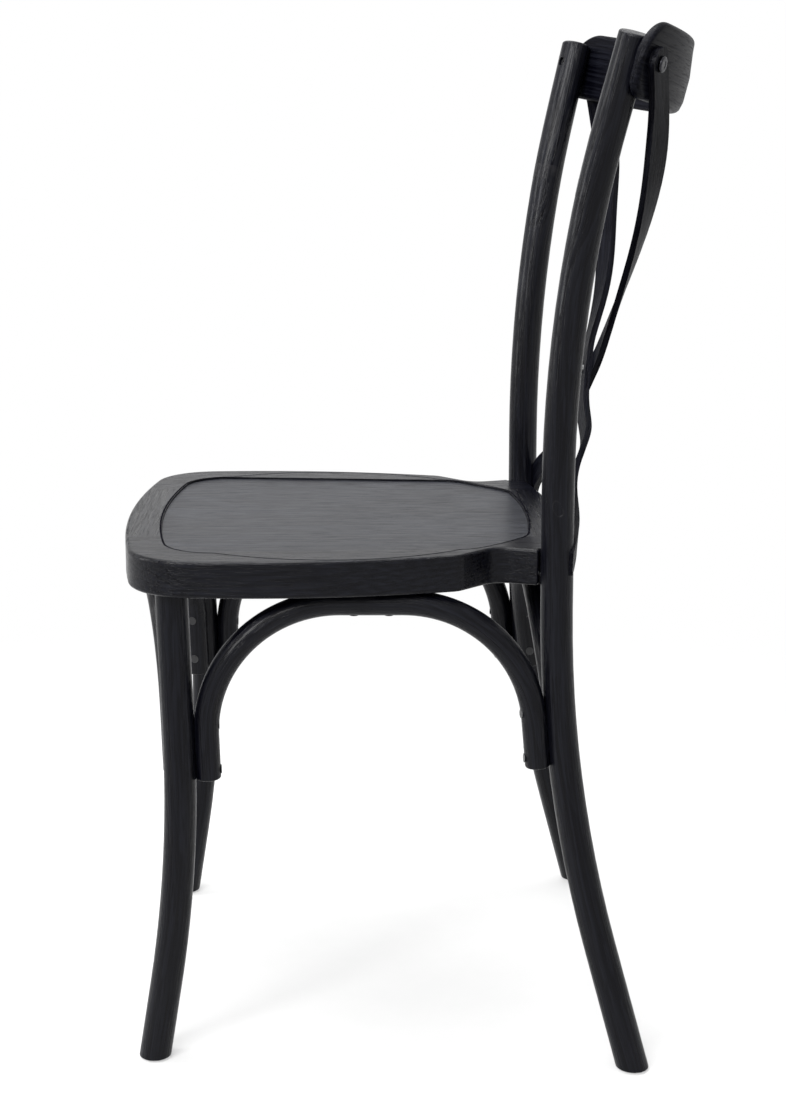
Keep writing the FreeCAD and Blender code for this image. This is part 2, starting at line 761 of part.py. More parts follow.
def ring_blank():
    """The whole ring before it is parted into rails."""
    rounded = [
        ("ring_front_corner", RING_HALF[:1]),
        ("shoulder_round", RING_HALF[1:2]),
        ("neck_round", RING_HALF[2:3]),
        ("ear_round", RING_HALF[3:4]),
    ]
    bows = {0: "ring_side_bow", 5: "ring_rear_bow", 10: "ring_side_bow", 11: "ring_front_bow"}
    body = padded_block("ring_blank", mirrored(RING_HALF), bows, "ring_thick", rounded)
    shape = body.Tip.Shape
    flat = edge_numbers(shape, lambda edge: edge.BoundBox.ZLength < 1e-4)
    notch_back = size("notch_y") - 3.5

    def outer(number):
        """Edges that a hand meets: all but those of the notch."""
        area = shape.Edges[number].BoundBox
        in_notch = area.YMin > notch_back and area.XLength < 8
        return not in_notch

    round_edges(body, [number for number in flat if outer(number)], "ring_edge_round")
    body.setExpression("Placement.Base.z", bind("ring_bottom"))
    doc.recompute()
    return body


def post_cope(sign):
    """Space for the rear leg where the ring wraps it."""
    low = post_axis(size("ring_bottom") - 40)
    high = post_axis(size("seat_top") + 40)
    along = side(high - low, sign)
    return cylinder("cope_%d" % (sign + 1), "rod_r + post_cope_gap", "ring_thick + 80",
                    side(low, sign), along)


def tenon_socket(sign):
    """Blind hole for the front leg's tenon."""
    reach = 600
    start = side(leg_axis(size("ring_bottom") - 20), sign)
    bar = cylinder("socket_bar_%d" % (sign + 1), "tenon_dia / 2 + tenon_play", "80", start,
                   leg_direction(sign))
    top = box("socket_level_%d" % (sign + 1), (-reach, -reach, 0),
              (2 * reach, 2 * reach, size("ring_bottom") + size("tenon_long") + size("tenon_play")))
    return common("socket_%d" % (sign + 1), bar, top)


# Crest rail

def crest_frame():
    """Own frame of the crest rail: turned back by the tilt, its Z along the bent board's height."""
    return Rotation(Vector(1, 0, 0), -size("crest_tilt"))


def crest_post_point():
    """The post's axis at the bolt's height, in the crest rail's own frame."""
    height = size("crest_bolt_z")
    reach = post_reach(height)
    plane = math.radians(size("post_plane"))
    point = Vector(size("post_x") + reach * math.sin(plane),
                   size("post_y") + reach * math.cos(plane), height)
    return crest_frame().inverted().multVec(point)


def crest_centre_y():
    """Where the axis of the bend lies, so that the front face meets the posts."""
    post = crest_post_point()
    radius = size("crest_bow") - size("rod_r") + size("crest_seat")
    return post.y - math.sqrt(radius ** 2 - post.x ** 2)


def crest_bolt(sign):
    """Point on the post's axis and the direction square to the crest rail, in the chair's frame."""
    post = crest_post_point()
    out = Vector(post.x, post.y - crest_centre_y(), 0).normalize()
    frame = crest_frame()
    return side(frame.multVec(post), sign), side(frame.multVec(out), sign)


def crest_blank():
    """A board bent to an arc, with rounded corners and edges, tilted back."""
    body = new_body("crest_blank")
    sketch = new_sketch(body, "crest_outline", "XY_Plane")
    inner = size("crest_bow")
    outer = inner + size("crest_thick")
    half = size("crest_arc") / (inner + size("crest_thick") / 2)

    def at(radius, angle):
        return Vector(radius * math.sin(angle), radius * math.cos(angle), 0)

    arcs = []
    for radius in (inner, outer):
        arc = sketch.addGeometry(Part.Arc(at(radius, -half), at(radius, 0), at(radius, half)), False)
        first, last = (1, 2) if sketch.getPoint(arc, 1).x > 0 else (2, 1)
        arcs.append((arc, first, last))
        sketch.addConstraint(Sketcher.Constraint("Coincident", arc, 3, -1, 1))
    index = sketch.addConstraint(Sketcher.Constraint("Radius", arcs[0][0], inner))
    sketch.setExpression("Constraints[%d]" % index, bind("crest_bow"))
    index = sketch.addConstraint(Sketcher.Constraint("Radius", arcs[1][0], outer))
    sketch.setExpression("Constraints[%d]" % index, bind("crest_bow + crest_thick"))
    for end in (1, 2):
        inner_pos, outer_pos = arcs[0][end], arcs[1][end]
        line = sketch.addGeometry(Part.LineSegment(
            sketch.getPoint(arcs[0][0], inner_pos), sketch.getPoint(arcs[1][0], outer_pos)), False)
        sketch.addConstraint(Sketcher.Constraint("Coincident", line, 1, arcs[0][0], inner_pos))
        sketch.addConstraint(Sketcher.Constraint("Coincident", line, 2, arcs[1][0], outer_pos))
        sketch.addConstraint(Sketcher.Constraint("PointOnObject", -1, 1, line))
        index = sketch.addConstraint(
            Sketcher.Constraint("DistanceX", *((-1, 1, line, 1) if end == 1 else (line, 1, -1, 1)),
                                inner * math.sin(half)))
        sketch.setExpression(
            "Constraints[%d]" % index,
            bind("crest_bow * sin(crest_arc / (crest_bow + crest_thick / 2) * 180 / pi)"))
    pad = body.newObject("PartDesign::Pad", "crest_pad")
    pad.Profile = sketch
    pad.setExpression("Length", bind("crest_z"))
    doc.recompute()
    for radius, height in (("crest_top_round", size("crest_z")), ("crest_low_round", 0.0)):
        edges = edge_numbers(body.Tip.Shape, lambda edge: edge.BoundBox.ZLength < 1e-4
                             and abs(edge.BoundBox.ZMax - height) < 1e-4
                             and abs(edge.Length - size("crest_thick")) < 1e-3)
        round_edges(body, edges, radius)
    thick = size("crest_thick")
    edges = edge_numbers(body.Tip.Shape, lambda edge: abs(edge.Length - thick) > 0.01)
    round_edges(body, edges, "crest_edge_round")
    frame = crest_frame()
    low = frame.multVec(Vector(0, crest_centre_y(), size("crest_low_z")))
    body.Placement = Placement(low, frame)
    doc.recompute()
    return body


# Cross slats

# Course of a slat below and above the crossing: share of the height and of the sideways way,
# how far it bows to the rear of the straight line, and the angle that its face is turned outward.
SLAT_LOW = [
    (0.75, 0.68, -1.3, -7),
    (0.50, 0.44, -0.3, -3),
    (0.25, 0.222, 0.0, -1),
]
SLAT_HIGH = [
    (0.25, 0.26, 12.0, 14),
    (0.41, 0.43, 16.0, 25),
    (0.60, 0.625, 17.5, 37),
    (0.78, 0.795, 13.0, 42),
]


def slat_foot():
    """The slat's middle behind the left post, its face's normal, and the way out of the post, level."""
    turn = math.radians(size("slat_foot_turn"))
    normal = Vector(math.sin(turn), math.cos(turn), 0)
    inward = Vector(-normal.y, normal.x, 0)
    height = size("slat_foot_z") + size("slat_foot_rise")
    depth = size("rod_r") - size("slat_bite") + size("slat_thick") / 2
    return post_axis(height) + normal * depth, normal, inward


def slat_stations(sign, offset):
    """Points and face normals of one slat, from its foot in one post to its top behind the crest rail.
    The sign says on which side the top is; the offset moves the crossing forward or back."""
    foot, facing, inward = (side(part, -1) for part in slat_foot())
    climb = inward + UP * 0.63
    cross = Vector(0, size("slat_cross_y"), size("slat_cross_z"))
    post, out = crest_bolt(1)
    top = post + out * (crest_stack() - size("slat_thick") / 2)
    flat = Vector(0, 1, -0.24).normalize()
    stations = [(foot - climb * 18, facing), (foot, facing)]
    for along, inward, back, turned in SLAT_LOW:
        reach = foot - cross
        point = Vector(reach.x * inward, reach.y * along + back, reach.z * along) + cross
        turn = math.radians(turned)
        stations.append((point, Vector(math.sin(turn), math.cos(turn), -0.2)))
    for along in (-0.055, 0.0, 0.055):
        point = cross + Vector(top.x * along * 1.33, 62 * along, (top.z - cross.z) * along)
        stations.append((point + flat * offset, flat))
    for along, outward, back, turned in SLAT_HIGH:
        reach = top - cross
        point = Vector(reach.x * outward, reach.y * along + back, reach.z * along) + cross
        turn = math.radians(turned)
        stations.append((point, Vector(math.sin(turn), math.cos(turn), -0.2)))
    upward = UP - out * UP.dot(out)
    sideways = UP.cross(out).normalize() * -1
    lean = math.radians(size("slat_top_lean"))
    climb = upward.normalize() * math.cos(lean) + sideways * math.sin(lean)
    stations += [(top + climb * reach, out) for reach in (-16, 0, 16)]
    return [(side(point, sign), side(normal.normalize(), sign)) for point, normal in stations]


def slat_section(point, along, normal):
    """A small rectangle across the slat."""
    normal = (normal - along * normal.dot(along)).normalize()
    wide = along.cross(normal).normalize() * (size("slat_wide") / 2)
    thick = normal * (size("slat_thick") / 2)
    corners = [point + wide + thick, point - wide + thick, point - wide - thick, point + wide - thick]
    return Part.makePolygon(corners + corners[:1])


def slat_blank(name, sign, offset):
    """A thin bent and twisted slat with a rounded upper end, its foot cut level and upright.
    The rounding is a little wider than the slat, so that it meets the edges at an angle."""
    stations = slat_stations(sign, offset)
    curve = Part.BSplineCurve()
    curve.interpolate([point for point, normal in stations])
    sections = []
    for point, normal in stations:
        along = Vector(*curve.tangent(curve.parameter(point))[0]).normalize()
        sections.append(slat_section(point, along, normal))
    blade = Part.makeLoft(sections, True, False)
    top, out = stations[-2]
    climb = (stations[-1][0] - top).normalize()
    end_round = Part.makeCylinder(size("slat_wide") * 0.53, 40, top - out * 20, out)
    above = Part.makeBox(80, 80, 40, Vector(0, -40, -20))
    above.Placement = Placement(top, Rotation(climb, out.cross(climb), out, "XZY"))
    foot, normal, inward = (side(part, -sign) for part in slat_foot())
    end = foot - inward * (size("rod_r") * 0.7)
    beyond = Part.makeBox(100, 100, 200, Vector(-50, 0, -100))
    beyond.Placement = Placement(end, Rotation(Vector(0, 1, 0), inward * -1)) * beyond.Placement
    below = Part.makeBox(600, 600, 100, Vector(-300, -300, size("slat_foot_z") - 100))
    result = doc.addObject("Part::Feature", name)
    result.Shape = blade.cut(beyond).cut(below).cut(above.cut(end_round)).Solids[0]
    return result


# Fasteners

def wood_screw(name, long):
    """Countersunk screw, its head at Z 0 and its point down along +Z of the drive direction."""
    profile = [
        ("0", "0"),
        ("wood_screw_head / 2", "0"),
        ("wood_screw_head / 2", "0.4"),
        ("wood_screw_dia / 2", "wood_screw_head / 2 - wood_screw_dia / 2 + 0.4"),
        ("wood_screw_dia / 2", "%s - wood_screw_dia" % long),
        ("0", long),
    ]
    return turned_body(name, profile)


def crest_stack():
    """Distance from the post's axis to the rear face of the slat, along the bolt."""
    return (size("rod_r") - size("crest_seat") + size("crest_thick") + size("slat_play")
            + size("slat_thick"))


def bolt_master():
    """Bolt with a round socket head; Z runs from the head's face to the tip."""
    long = "rod_r - bolt_head_sink + %.6f + nut_long - nut_wall - 0.2" % crest_stack()
    profile = [
        ("0", "bolt_socket"),
        ("1.5", "bolt_socket"),
        ("1.5", "0"),
        ("bolt_head_dia / 2 - 0.4", "0"),
        ("bolt_head_dia / 2", "0.4"),
        ("bolt_head_dia / 2", "bolt_head_long"),
        ("bolt_dia / 2", "bolt_head_long"),
        ("bolt_dia / 2", long),
        ("0", long),
    ]
    return turned_body("crest_bolt", profile)


def nut_master():
    """Low cap nut; Z runs from the slat outward."""
    profile = [
        ("bolt_dia / 2", "0"),
        ("nut_dia / 2", "0"),
        ("nut_dia / 2", "nut_long - 0.8"),
        ("nut_dia / 2 - 0.8", "nut_long"),
        ("0", "nut_long"),
        ("0", "nut_long - nut_wall"),
        ("bolt_dia / 2", "nut_long - nut_wall"),
    ]
    return turned_body("crest_nut", profile)


def pan_screw(name, long):
    """Screw with a flat round head, used under the plugs."""
    profile = [
        ("0", "0"),
        ("pan_head_dia / 2", "0"),
        ("pan_head_dia / 2", "pan_head_long"),
        ("wood_screw_dia / 2", "pan_head_long"),
        ("wood_screw_dia / 2", "%s - 0.8" % long),
        ("wood_screw_dia / 2 - 0.8", long),
        ("0", long),
    ]
    return turned_body(name, profile)


def rivet_master():
    """Screw rivet through both slats; Z 0 is the front slat's front face."""
    grip = "2 * slat_thick + slat_play"
    profile = [
        ("0", "-rivet_head_long"),
        ("rivet_head_dia / 2 - 0.6", "-rivet_head_long"),
        ("rivet_head_dia / 2", "0"),
        ("rivet_dia / 2", "0"),
        ("rivet_dia / 2", grip),
        ("rivet_head_dia / 2", grip),
        ("rivet_head_dia / 2 - 0.6", grip + " + rivet_head_long"),
        ("0", grip + " + rivet_head_long"),
    ]
    return turned_body("crossing_rivet", profile)


def seat_bolt_master():
    profile = [
        ("0", "bolt_socket"),
        ("2.2", "bolt_socket"),
        ("2.2", "0"),
        ("seat_bolt_head_dia / 2", "0"),
        ("seat_bolt_head_dia / 2", "seat_bolt_head_long"),
        ("seat_bolt_dia / 2", "seat_bolt_head_long"),
        ("seat_bolt_dia / 2", "seat_bolt_long"),
        ("0", "seat_bolt_long"),
    ]
    return turned_body("seat_bolt", profile)


def insert_master():
    profile = [
        ("seat_bolt_dia / 2", "0"),
        ("insert_dia / 2", "0"),
        ("insert_dia / 2", "insert_long"),
        ("seat_bolt_dia / 2", "insert_long"),
    ]
    return turned_body("post_insert", profile)


def dowel_master():
    profile = [
        ("0", "0"),
        ("dowel_dia / 2 - 0.8", "0"),
        ("dowel_dia / 2", "0.8"),
        ("dowel_dia / 2", "dowel_long - 0.8"),
        ("dowel_dia / 2 - 0.8", "dowel_long"),
        ("0", "dowel_long"),
    ]
    return turned_body("seat_dowel", profile)


def glide_master():
    """Glide with its pin; Z 0 is the floor."""
    profile = [
        ("0", "0"),
        ("glide_dia / 2 - 0.8", "0"),
        ("glide_dia / 2", "0.8"),
        ("glide_dia / 2", "glide_thick"),
        ("glide_pin_dia / 2", "glide_thick"),
        ("glide_pin_dia / 2", "glide_thick + glide_pin_long - 1"),
        ("0", "glide_thick + glide_pin_long"),
    ]
    return turned_body("glide", profile)


def both(point, along):
    """The same place on the left and on the right."""
    return [(side(point, sign), side(along, sign)) for word, sign in SIDES]


def seat_bolt_places():
    """Diagonal bolts, from under the panel into the posts."""
    post = post_axis(size("dowel_z"))
    along = Vector(1, 1, 0).normalize()
    tip = size("rod_r") - size("seat_bolt_into_post")
    head = post - along * (tip + size("seat_bolt_long"))
    sleeve = post - along * (tip + size("insert_long"))
    return head, sleeve, along


def arch_end_places():
    """Screws that hold the arch ends to the legs, driven from inside the arches."""
    contact = size("rod_r") + size("arch_r") - size("arch_bite")
    head = size("arch_r") + size("arch_screw_proud")
    places = []
    for height in (size("screw_low"), size("screw_low") + size("screw_pitch")):
        axis = leg_axis(size("front_end_z") + height)
        shift = size("side_arch_x") - axis.x
        away = Vector(shift, math.sqrt(contact ** 2 - shift ** 2), 0).normalize()
        places += both(axis + away * (contact + head), away * -1)
        axis = post_axis(size("rear_end_z") + height)
        shift = size("side_arch_x") - axis.x
        away = Vector(shift, -math.sqrt(contact ** 2 - shift ** 2), 0).normalize()
        places += both(axis + away * (contact + head), away * -1)
        height += size("screw_stagger")
        offset_y = size("front_arch_side_y")
        away = Vector(-math.sqrt(contact ** 2 - offset_y ** 2), offset_y, 0).normalize()
        axis = leg_axis(size("front_end_z") + height)
        places += both(axis + away * (contact + head), away * -1)
        away = Vector(-1, 0, 0)
        axis = post_axis(size("rear_end_z") + height)
        places += both(axis + away * (contact + head), away * -1)
    return places


def arch_top_places():
    """Screws that hold the arch tops to the ring, driven from below."""
    bottom = size("arch_top_z") - size("arch_r")
    pitch = size("top_screw_pitch") / 2
    places = []
    for way in (-1, 1):
        point = Vector(size("side_arch_x"), size("top_screw_y") + way * pitch, bottom)
        places += both(point, UP)
    middle = front_arch_points()[2]
    bend = size("front_arch_top_bend")
    turn = math.radians(size("front_arch_turn"))
    centre_y = middle.y + bend / math.cos(turn)
    front_y = centre_y - math.sqrt(bend ** 2 - pitch ** 2)
    places += both(Vector(pitch, front_y, bottom), UP)
    low = post_axis(size("rear_end_z"))
    rear_y = low.y - math.tan(math.radians(size("rear_arch_lean"))) * (size("arch_top_z") - low.z)
    places += both(Vector(pitch, rear_y, bottom), UP)
    return places


def bow_depth(radius, x):
    """How far a bowed edge has fallen back at a distance from its middle."""
    return radius - math.sqrt(radius ** 2 - x ** 2)


def panel_screw_places():
    """Screws through the middle of the ledge, up into the panel."""
    inset = size("ledge") / 2
    bottom = size("ring_bottom")
    places = []
    front_bow, rear_bow = size("panel_front_bow"), size("panel_rear_bow")
    x = size("panel_screw_front_x")
    y = size("panel_front_y") - bow_depth(front_bow, size("panel_front_x")) + bow_depth(front_bow, x)
    places += both(Vector(x, y + inset, bottom), UP)
    x = size("panel_screw_rear_x")
    y = size("panel_rear_y") + bow_depth(rear_bow, size("panel_rear_x")) - bow_depth(rear_bow, x)
    places += both(Vector(x, y - inset, bottom), UP)
    slope = ((size("panel_side_x") - size("panel_front_x"))
             / (size("panel_side_y") - size("panel_front_y")))
    for y in (size("panel_screw_side_front"), size("panel_screw_side_rear")):
        x = size("panel_front_x") + slope * (y - size("panel_front_y"))
        places += both(Vector(x - inset, y, bottom), UP)
    return places


def foot_screw_line():
    """Where the slat screw enters the left post, and where it ends in the foot of the slat."""
    stations = slat_stations(-1, 0)
    entry = post_axis(size("foot_screw_z"))
    turn = math.radians(size("foot_screw_turn"))
    entry = entry + Vector(math.cos(turn), -math.sin(turn), 0) * size("rod_r")
    low, high = stations[1][0], stations[2][0]
    return entry, low + (high - low) * 0.2 + UP * size("foot_screw_end_rise")


def foot_screw_places():
    """Screws from the outside of the posts into the slats' feet, below their plugs."""
    entry, end = foot_screw_line()
    along = (end - entry).normalize()
    return both(entry + along * size("foot_screw_head_sink"), along)


def crossing_place():
    """Middle of the front slat's front face at the crossing, and the direction to the rear."""
    stations = slat_stations(1, 0)
    middle, out = stations[CROSSING_STATION]
    return middle - out * (size("slat_thick") + size("slat_play") / 2), out


def bores(name, radius, places, long, ahead=0):
    """Access holes: cylinders that run back from each place, against the driving direction.
    Ahead of the place they take out what would stay in the head's socket."""
    result = doc.addObject("Part::Feature", name)
    result.Shape = Part.makeCompound([
        Part.makeCylinder(radius, long + ahead, begin + along * ahead, along * -1)
        for begin, along in places])
    return result


def front_foot(height):
    """Point on the axis of the left front leg, below its bend."""
    down = size("leg_ref_z") - height
    back = math.tan(math.radians(size("leg_back_lean"))) * (size("leg_ref_z") - size("leg_bend_z"))
    ahead = math.tan(math.radians(size("leg_foot_lean"))) * (size("leg_bend_z") - height)
    return Vector(size("leg_x") + down * math.tan(math.radians(size("leg_splay"))),
                  size("leg_y") + back - ahead, height)


def glide_places():
    floor = size("glide_thick")
    places = []
    for foot in (front_foot(floor), post_axis(floor)):
        foot.z = 0
        places += both(foot, UP)
    return places


def build():
    """Every node of the chair, by name."""
    nodes = {}

    # Fasteners first: the wooden pieces are bored for them.
    post, out = crest_bolt(1)
    bolt_begin = both(post - out * (size("rod_r") - size("bolt_head_sink")), out)
    nut_begin = both(post + out * crest_stack(), out)
    crest_bolts = copies("crest_bolts", bolt_master(), bolt_begin)
    nodes["crest_bolts"] = crest_bolts
    nodes["crest_nuts"] = copies("crest_nuts", nut_master(), nut_begin)
    bolt_bores = bores("bolt_bores", size("bolt_head_dia") / 2 + 0.2, bolt_begin, 30, size("bolt_socket"))

    head, sleeve, along = seat_bolt_places()
    seat_bolts = copies("seat_post_bolts", seat_bolt_master(), both(head, along))
    inserts = copies("post_threaded_inserts", insert_master(), both(sleeve, along))
    insert_bores = bores("insert_bores", size("insert_dia") / 2,
                         both(sleeve + along * size("insert_long"), along), size("insert_long"))
    nodes["seat_post_bolts"] = seat_bolts
    nodes["post_threaded_inserts"] = inserts
    seat_bores = bores("seat_bolt_bores", size("seat_bolt_head_dia") / 2 + 0.2,
                       both(head, along), 30, size("bolt_socket"))

    arch_screw = wood_screw("arch_screw", "wood_screw_long")
    arch_end_screws = copies("arch_end_screws", arch_screw, arch_end_places())
    arch_top_screws = copies("arch_top_screws", arch_screw, arch_top_places())
    panel_screws = copies("panel_screws", wood_screw("panel_screw", "short_screw_long"),
                          panel_screw_places())
    nodes["arch_end_screws"] = arch_end_screws
    nodes["arch_top_screws"] = arch_top_screws
    nodes["panel_screws"] = panel_screws

    entry, end = foot_screw_line()
    foot_long = "%.6f - foot_screw_head_sink" % (end - entry).Length
    foot_places = foot_screw_places()
    foot_screws = copies("slat_foot_screws", pan_screw("foot_screw", foot_long), foot_places)
    nodes["slat_foot_screws"] = foot_screws
    plug_bores = bores("plug_bores", size("pan_head_dia") / 2, foot_places, 30)

    begin, across = crossing_place()
    crossing = copies("slat_crossing_rivet", rivet_master(), [(begin, across)])
    nodes["slat_crossing_rivet"] = crossing

    dowel = dowel_master()
    dowel_x = size("rail_joint_x") - size("dowel_long") / 2
    dowel_places = []
    for y in (size("dowel_front_outer"), size("dowel_front_inner"),
              size("dowel_rear_outer"), size("dowel_rear_inner")):
        dowel_places += both(Vector(dowel_x, y, size("dowel_z")), Vector(1, 0, 0))
    dowels = copies("seat_dowels", dowel, dowel_places)
    nodes["seat_dowels"] = dowels
    glides = copies("foot_glides", glide_master(), glide_places())
    nodes["foot_glides"] = glides

    # Slats, which are let into the posts
    slat_gap = (size("slat_thick") + size("slat_play")) / 2
    slats = []
    for name, sign, way in (("cross_slat_rear", 1, 1), ("cross_slat_front", -1, -1)):
        blank = slat_blank(name + "_blank", sign, way * slat_gap)
        slats.append(blank)
        bolted = cut(name + "_bolted", blank, [crest_bolts])
        screwed = cut(name + "_screwed", bolted, [foot_screws])
        nodes[name] = cut(name, screwed, [crossing])

    # Legs
    rods = {}
    crest = crest_blank()
    floor_room = box("floor_room", (-600, -600, -200), (1200, 1200, 200 + size("glide_thick")))
    for word, sign in SIDES:
        rod = rear_leg_rod("rear_leg_rod_" + word, sign)
        rods["rear_" + word] = rod
        level = cut("rear_leg_level_" + word, rod, [floor_room])
        foot = foot_edge_round("rear_leg_foot_" + word, level)
        slotted = cut("rear_leg_slot_" + word, foot, [slats[0] if sign < 0 else slats[1]])
        seated = cut("rear_leg_seat_" + word, slotted, [crest])
        nodes["rear_leg_" + word] = cut("rear_leg_" + word, seated, [
            crest_bolts, bolt_bores, seat_bolts, insert_bores, arch_end_screws, foot_screws, plug_bores,
            glides])
        rod = front_leg_rod("front_leg_rod_" + word, sign)
        rods["front_" + word] = rod
        foot = foot_edge_round("front_leg_foot_" + word, front_leg("front_leg_" + word, rod, sign))
        nodes["front_leg_" + word] = cut("front_leg_" + word, foot, [arch_end_screws, glides])
    posts = fused("posts", [rods["rear_left"], rods["rear_right"]])
    nodes["post_plugs"] = common("post_plugs", plug_bores, posts)

    # Arches
    screws = [arch_end_screws, arch_top_screws]
    for word, sign in SIDES:
        nodes["side_arch_" + word] = cut(
            "side_arch_" + word, side_arch_rod("side_arch_rod_" + word, sign),
            [rods["front_" + word], rods["rear_" + word]] + screws)
    nodes["front_arch"] = cut("front_arch", front_arch_rod("front_arch_rod"),
                              [rods["front_left"], rods["front_right"]] + screws)
    nodes["rear_arch"] = cut("rear_arch", rear_arch_rod("rear_arch_rod"),
                             [rods["rear_left"], rods["rear_right"]] + screws)

    # Seat
    gap = "panel_gap"
    panel = panel_block("panel_block", "0", "panel_bottom", "panel_thick")
    nodes["seat_panel"] = cut("seat_panel", panel, [panel_screws])
    recess = panel_block("panel_recess", gap, "panel_bottom", "panel_thick + panel_drop + 10")
    opening = panel_block("ring_opening", "-ledge", "ring_bottom - 10", "ring_thick + 20")
    ring = cut("ring_whole", ring_blank(), [
        recess, opening, post_cope(1), post_cope(-1), tenon_socket(1), tenon_socket(-1),
        dowels, seat_bolts, seat_bores, arch_top_screws, panel_screws])
    joint = size("rail_joint_x")
    far = 400
    blocks = {
        "seat_side_rail_left": ((joint, -far), (far, 2 * far)),
        "seat_side_rail_right": ((-joint - far, -far), (far, 2 * far)),
        "seat_front_rail": ((-joint, -far), (2 * joint, far)),
        "seat_rear_rail": ((-joint, 0), (2 * joint, far)),
    }
    for name, (corner, lengths) in blocks.items():
        block = box(name + "_block", corner + (0,), lengths + (2 * far,))
        nodes[name] = common(name, ring, block)

    # Back
    nodes["crest_rail"] = cut("crest_rail", crest, [crest_bolts])
    return nodes


def check_and_write(nodes):
    """Write one STEP file per node, if every object is sound."""
    doc.recompute()
    faults = [item.Name for item in doc.Objects if "Invalid" in item.State or "Error" in item.State]
    for name, node in nodes.items():
        shape = node.Shape
        if shape.isNull() or not shape.isValid() or not shape.Solids or shape.Volume <= 0:
            faults.append(name)
    if faults:
        raise RuntimeError("unsound objects: " + ", ".join(faults))
    os.makedirs("parts", exist_ok=True)
    centre = Placement(Vector(0, size("centre_y"), 0), Rotation())
    for name, node in nodes.items():
        node.Label = name
        node.Placement = centre * node.Placement
        node.Shape.exportStep("parts/%s.step" % name)
        bounds = node.Shape.BoundBox
        print("%-24s solids %2d  volume %10.1f  x %7.1f %7.1f  y %7.1f %7.1f  z %6.1f %6.1f" % (
            name, len(node.Shape.Solids), node.Shape.Volume, bounds.XMin, bounds.XMax,
            bounds.YMin, bounds.YMax, bounds.ZMin, bounds.ZMax))


check_and_write(build())
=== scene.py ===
# %% [markdown]
# # A cross back chair in black stained bentwood
# The chair was shaped in CAD first, and that model is the frame of this lesson: every leg, arch, slat and
# screw is already at its real size and place. What is left for Blender is what the eye meets first, the
# stained and lacquered wood, so most cells below are about grain and how it follows a bent rod.

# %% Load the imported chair
import bpy
import math
import numpy as np
from mathutils import Matrix, Vector


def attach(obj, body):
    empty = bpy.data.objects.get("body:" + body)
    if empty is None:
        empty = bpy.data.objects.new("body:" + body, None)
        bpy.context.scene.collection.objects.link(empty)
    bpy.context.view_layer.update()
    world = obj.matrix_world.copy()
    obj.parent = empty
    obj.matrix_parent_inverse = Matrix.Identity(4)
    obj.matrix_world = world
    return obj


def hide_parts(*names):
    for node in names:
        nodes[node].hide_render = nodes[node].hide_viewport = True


MM = 0.001
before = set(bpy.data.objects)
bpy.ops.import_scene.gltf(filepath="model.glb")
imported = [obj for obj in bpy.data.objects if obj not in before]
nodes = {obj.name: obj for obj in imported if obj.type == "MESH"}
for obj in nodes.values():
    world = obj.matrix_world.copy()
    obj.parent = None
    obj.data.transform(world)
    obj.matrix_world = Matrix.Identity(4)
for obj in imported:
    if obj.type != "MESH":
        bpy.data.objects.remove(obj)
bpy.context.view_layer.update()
print("nodes of the chair:", len(nodes))

# %% [markdown]
# Colours are easiest to read as the hex values that a paint maker prints. Blender's shaders work in linear
# light, so one function turns a hex value into the four linear numbers that a socket takes.

# %% Colours from hex
def paint(hex_value):
    """Each channel of an sRGB hex value, made linear: ((c + 0.055) / 1.055) to the power 2.4, or
    c / 12.92 where c is small."""
    channels = np.array([int(hex_value[i:i + 2], 16) for i in (1, 3, 5)]) / 255
    linear = np.where(channels <= 0.04045, channels / 12.92, ((channels + 0.055) / 1.055) ** 2.4)
    return [*linear.tolist(), 1.0]


print("a mid grey in linear light:", [round(c, 3) for c in paint("#808080")])

# %% [markdown]
# A material is a small graph. One helper serves every node of it: it adds the node, sets its fields, and
# sets or joins its inputs. It gives back the node's outputs, so each line of a graph can use what the lines
# above it made, and the whole reads as a recipe.

# %% A helper for material graphs
def new_material(name):
    """An empty material and its node tree."""
    material = bpy.data.materials.new(name)
    material.use_nodes = True
    material.node_tree.nodes.clear()
    return material, material.node_tree


def add(tree, kind, inputs=(), **fields):
    """Adds one node and gives its outputs. Fields are the node's own settings. Inputs are values or other
    nodes' outputs, either as a row in the order of the sockets or as a dictionary by name."""
    node = tree.nodes.new("ShaderNode" + kind)
    for field, value in fields.items():
        setattr(node, field, value)
    for socket, value in inputs.items() if isinstance(inputs, dict) else enumerate(inputs):
        if isinstance(value, bpy.types.NodeSocket):
            tree.links.new(value, node.inputs[socket])
        else:
            node.inputs[socket].default_value = value
    return node.outputs


print("helpers ready: new_material, add")

# %% [markdown]
# Bentwood is steamed and bent along its fibres, so the grain always runs along the piece, round every
# bend. A pattern on plain object coordinates would cut straight through a bent rod. Each piece therefore
# gets grain coordinates of its own: a vector whose X runs along the fibres, and whose Y and Z run across.
# For a straight board it is enough to swap the axes.

# %% Grain of the straight boards
def object_axes(tree):
    """The object's own X, Y and Z in metres, as three outputs."""
    return add(tree, "SeparateXYZ", (add(tree, "TexCoord")["Object"],))


def grain_along_depth(tree):
    """For boards that run from front to back: Y is along the grain."""
    x, y, z = object_axes(tree)
    return add(tree, "CombineXYZ", (y, x, z))[0]


def grain_along_width(tree):
    """For boards that run from side to side: X is along the grain."""
    return add(tree, "CombineXYZ", object_axes(tree))[0]


print("straight boards: along the depth, along the width")

# %% [markdown]
# The legs and slats rise all the way, so height tells how far along the piece a point is. A curve gives the
# middle of the piece at each height, and what is left after taking that away is the place across the grain.
# The two legs of a pair are mirror images, so the distance from the chair's middle plane serves both. Each
# row of the tables below is a point of a piece's middle line in millimetres: sideways, back, and up.

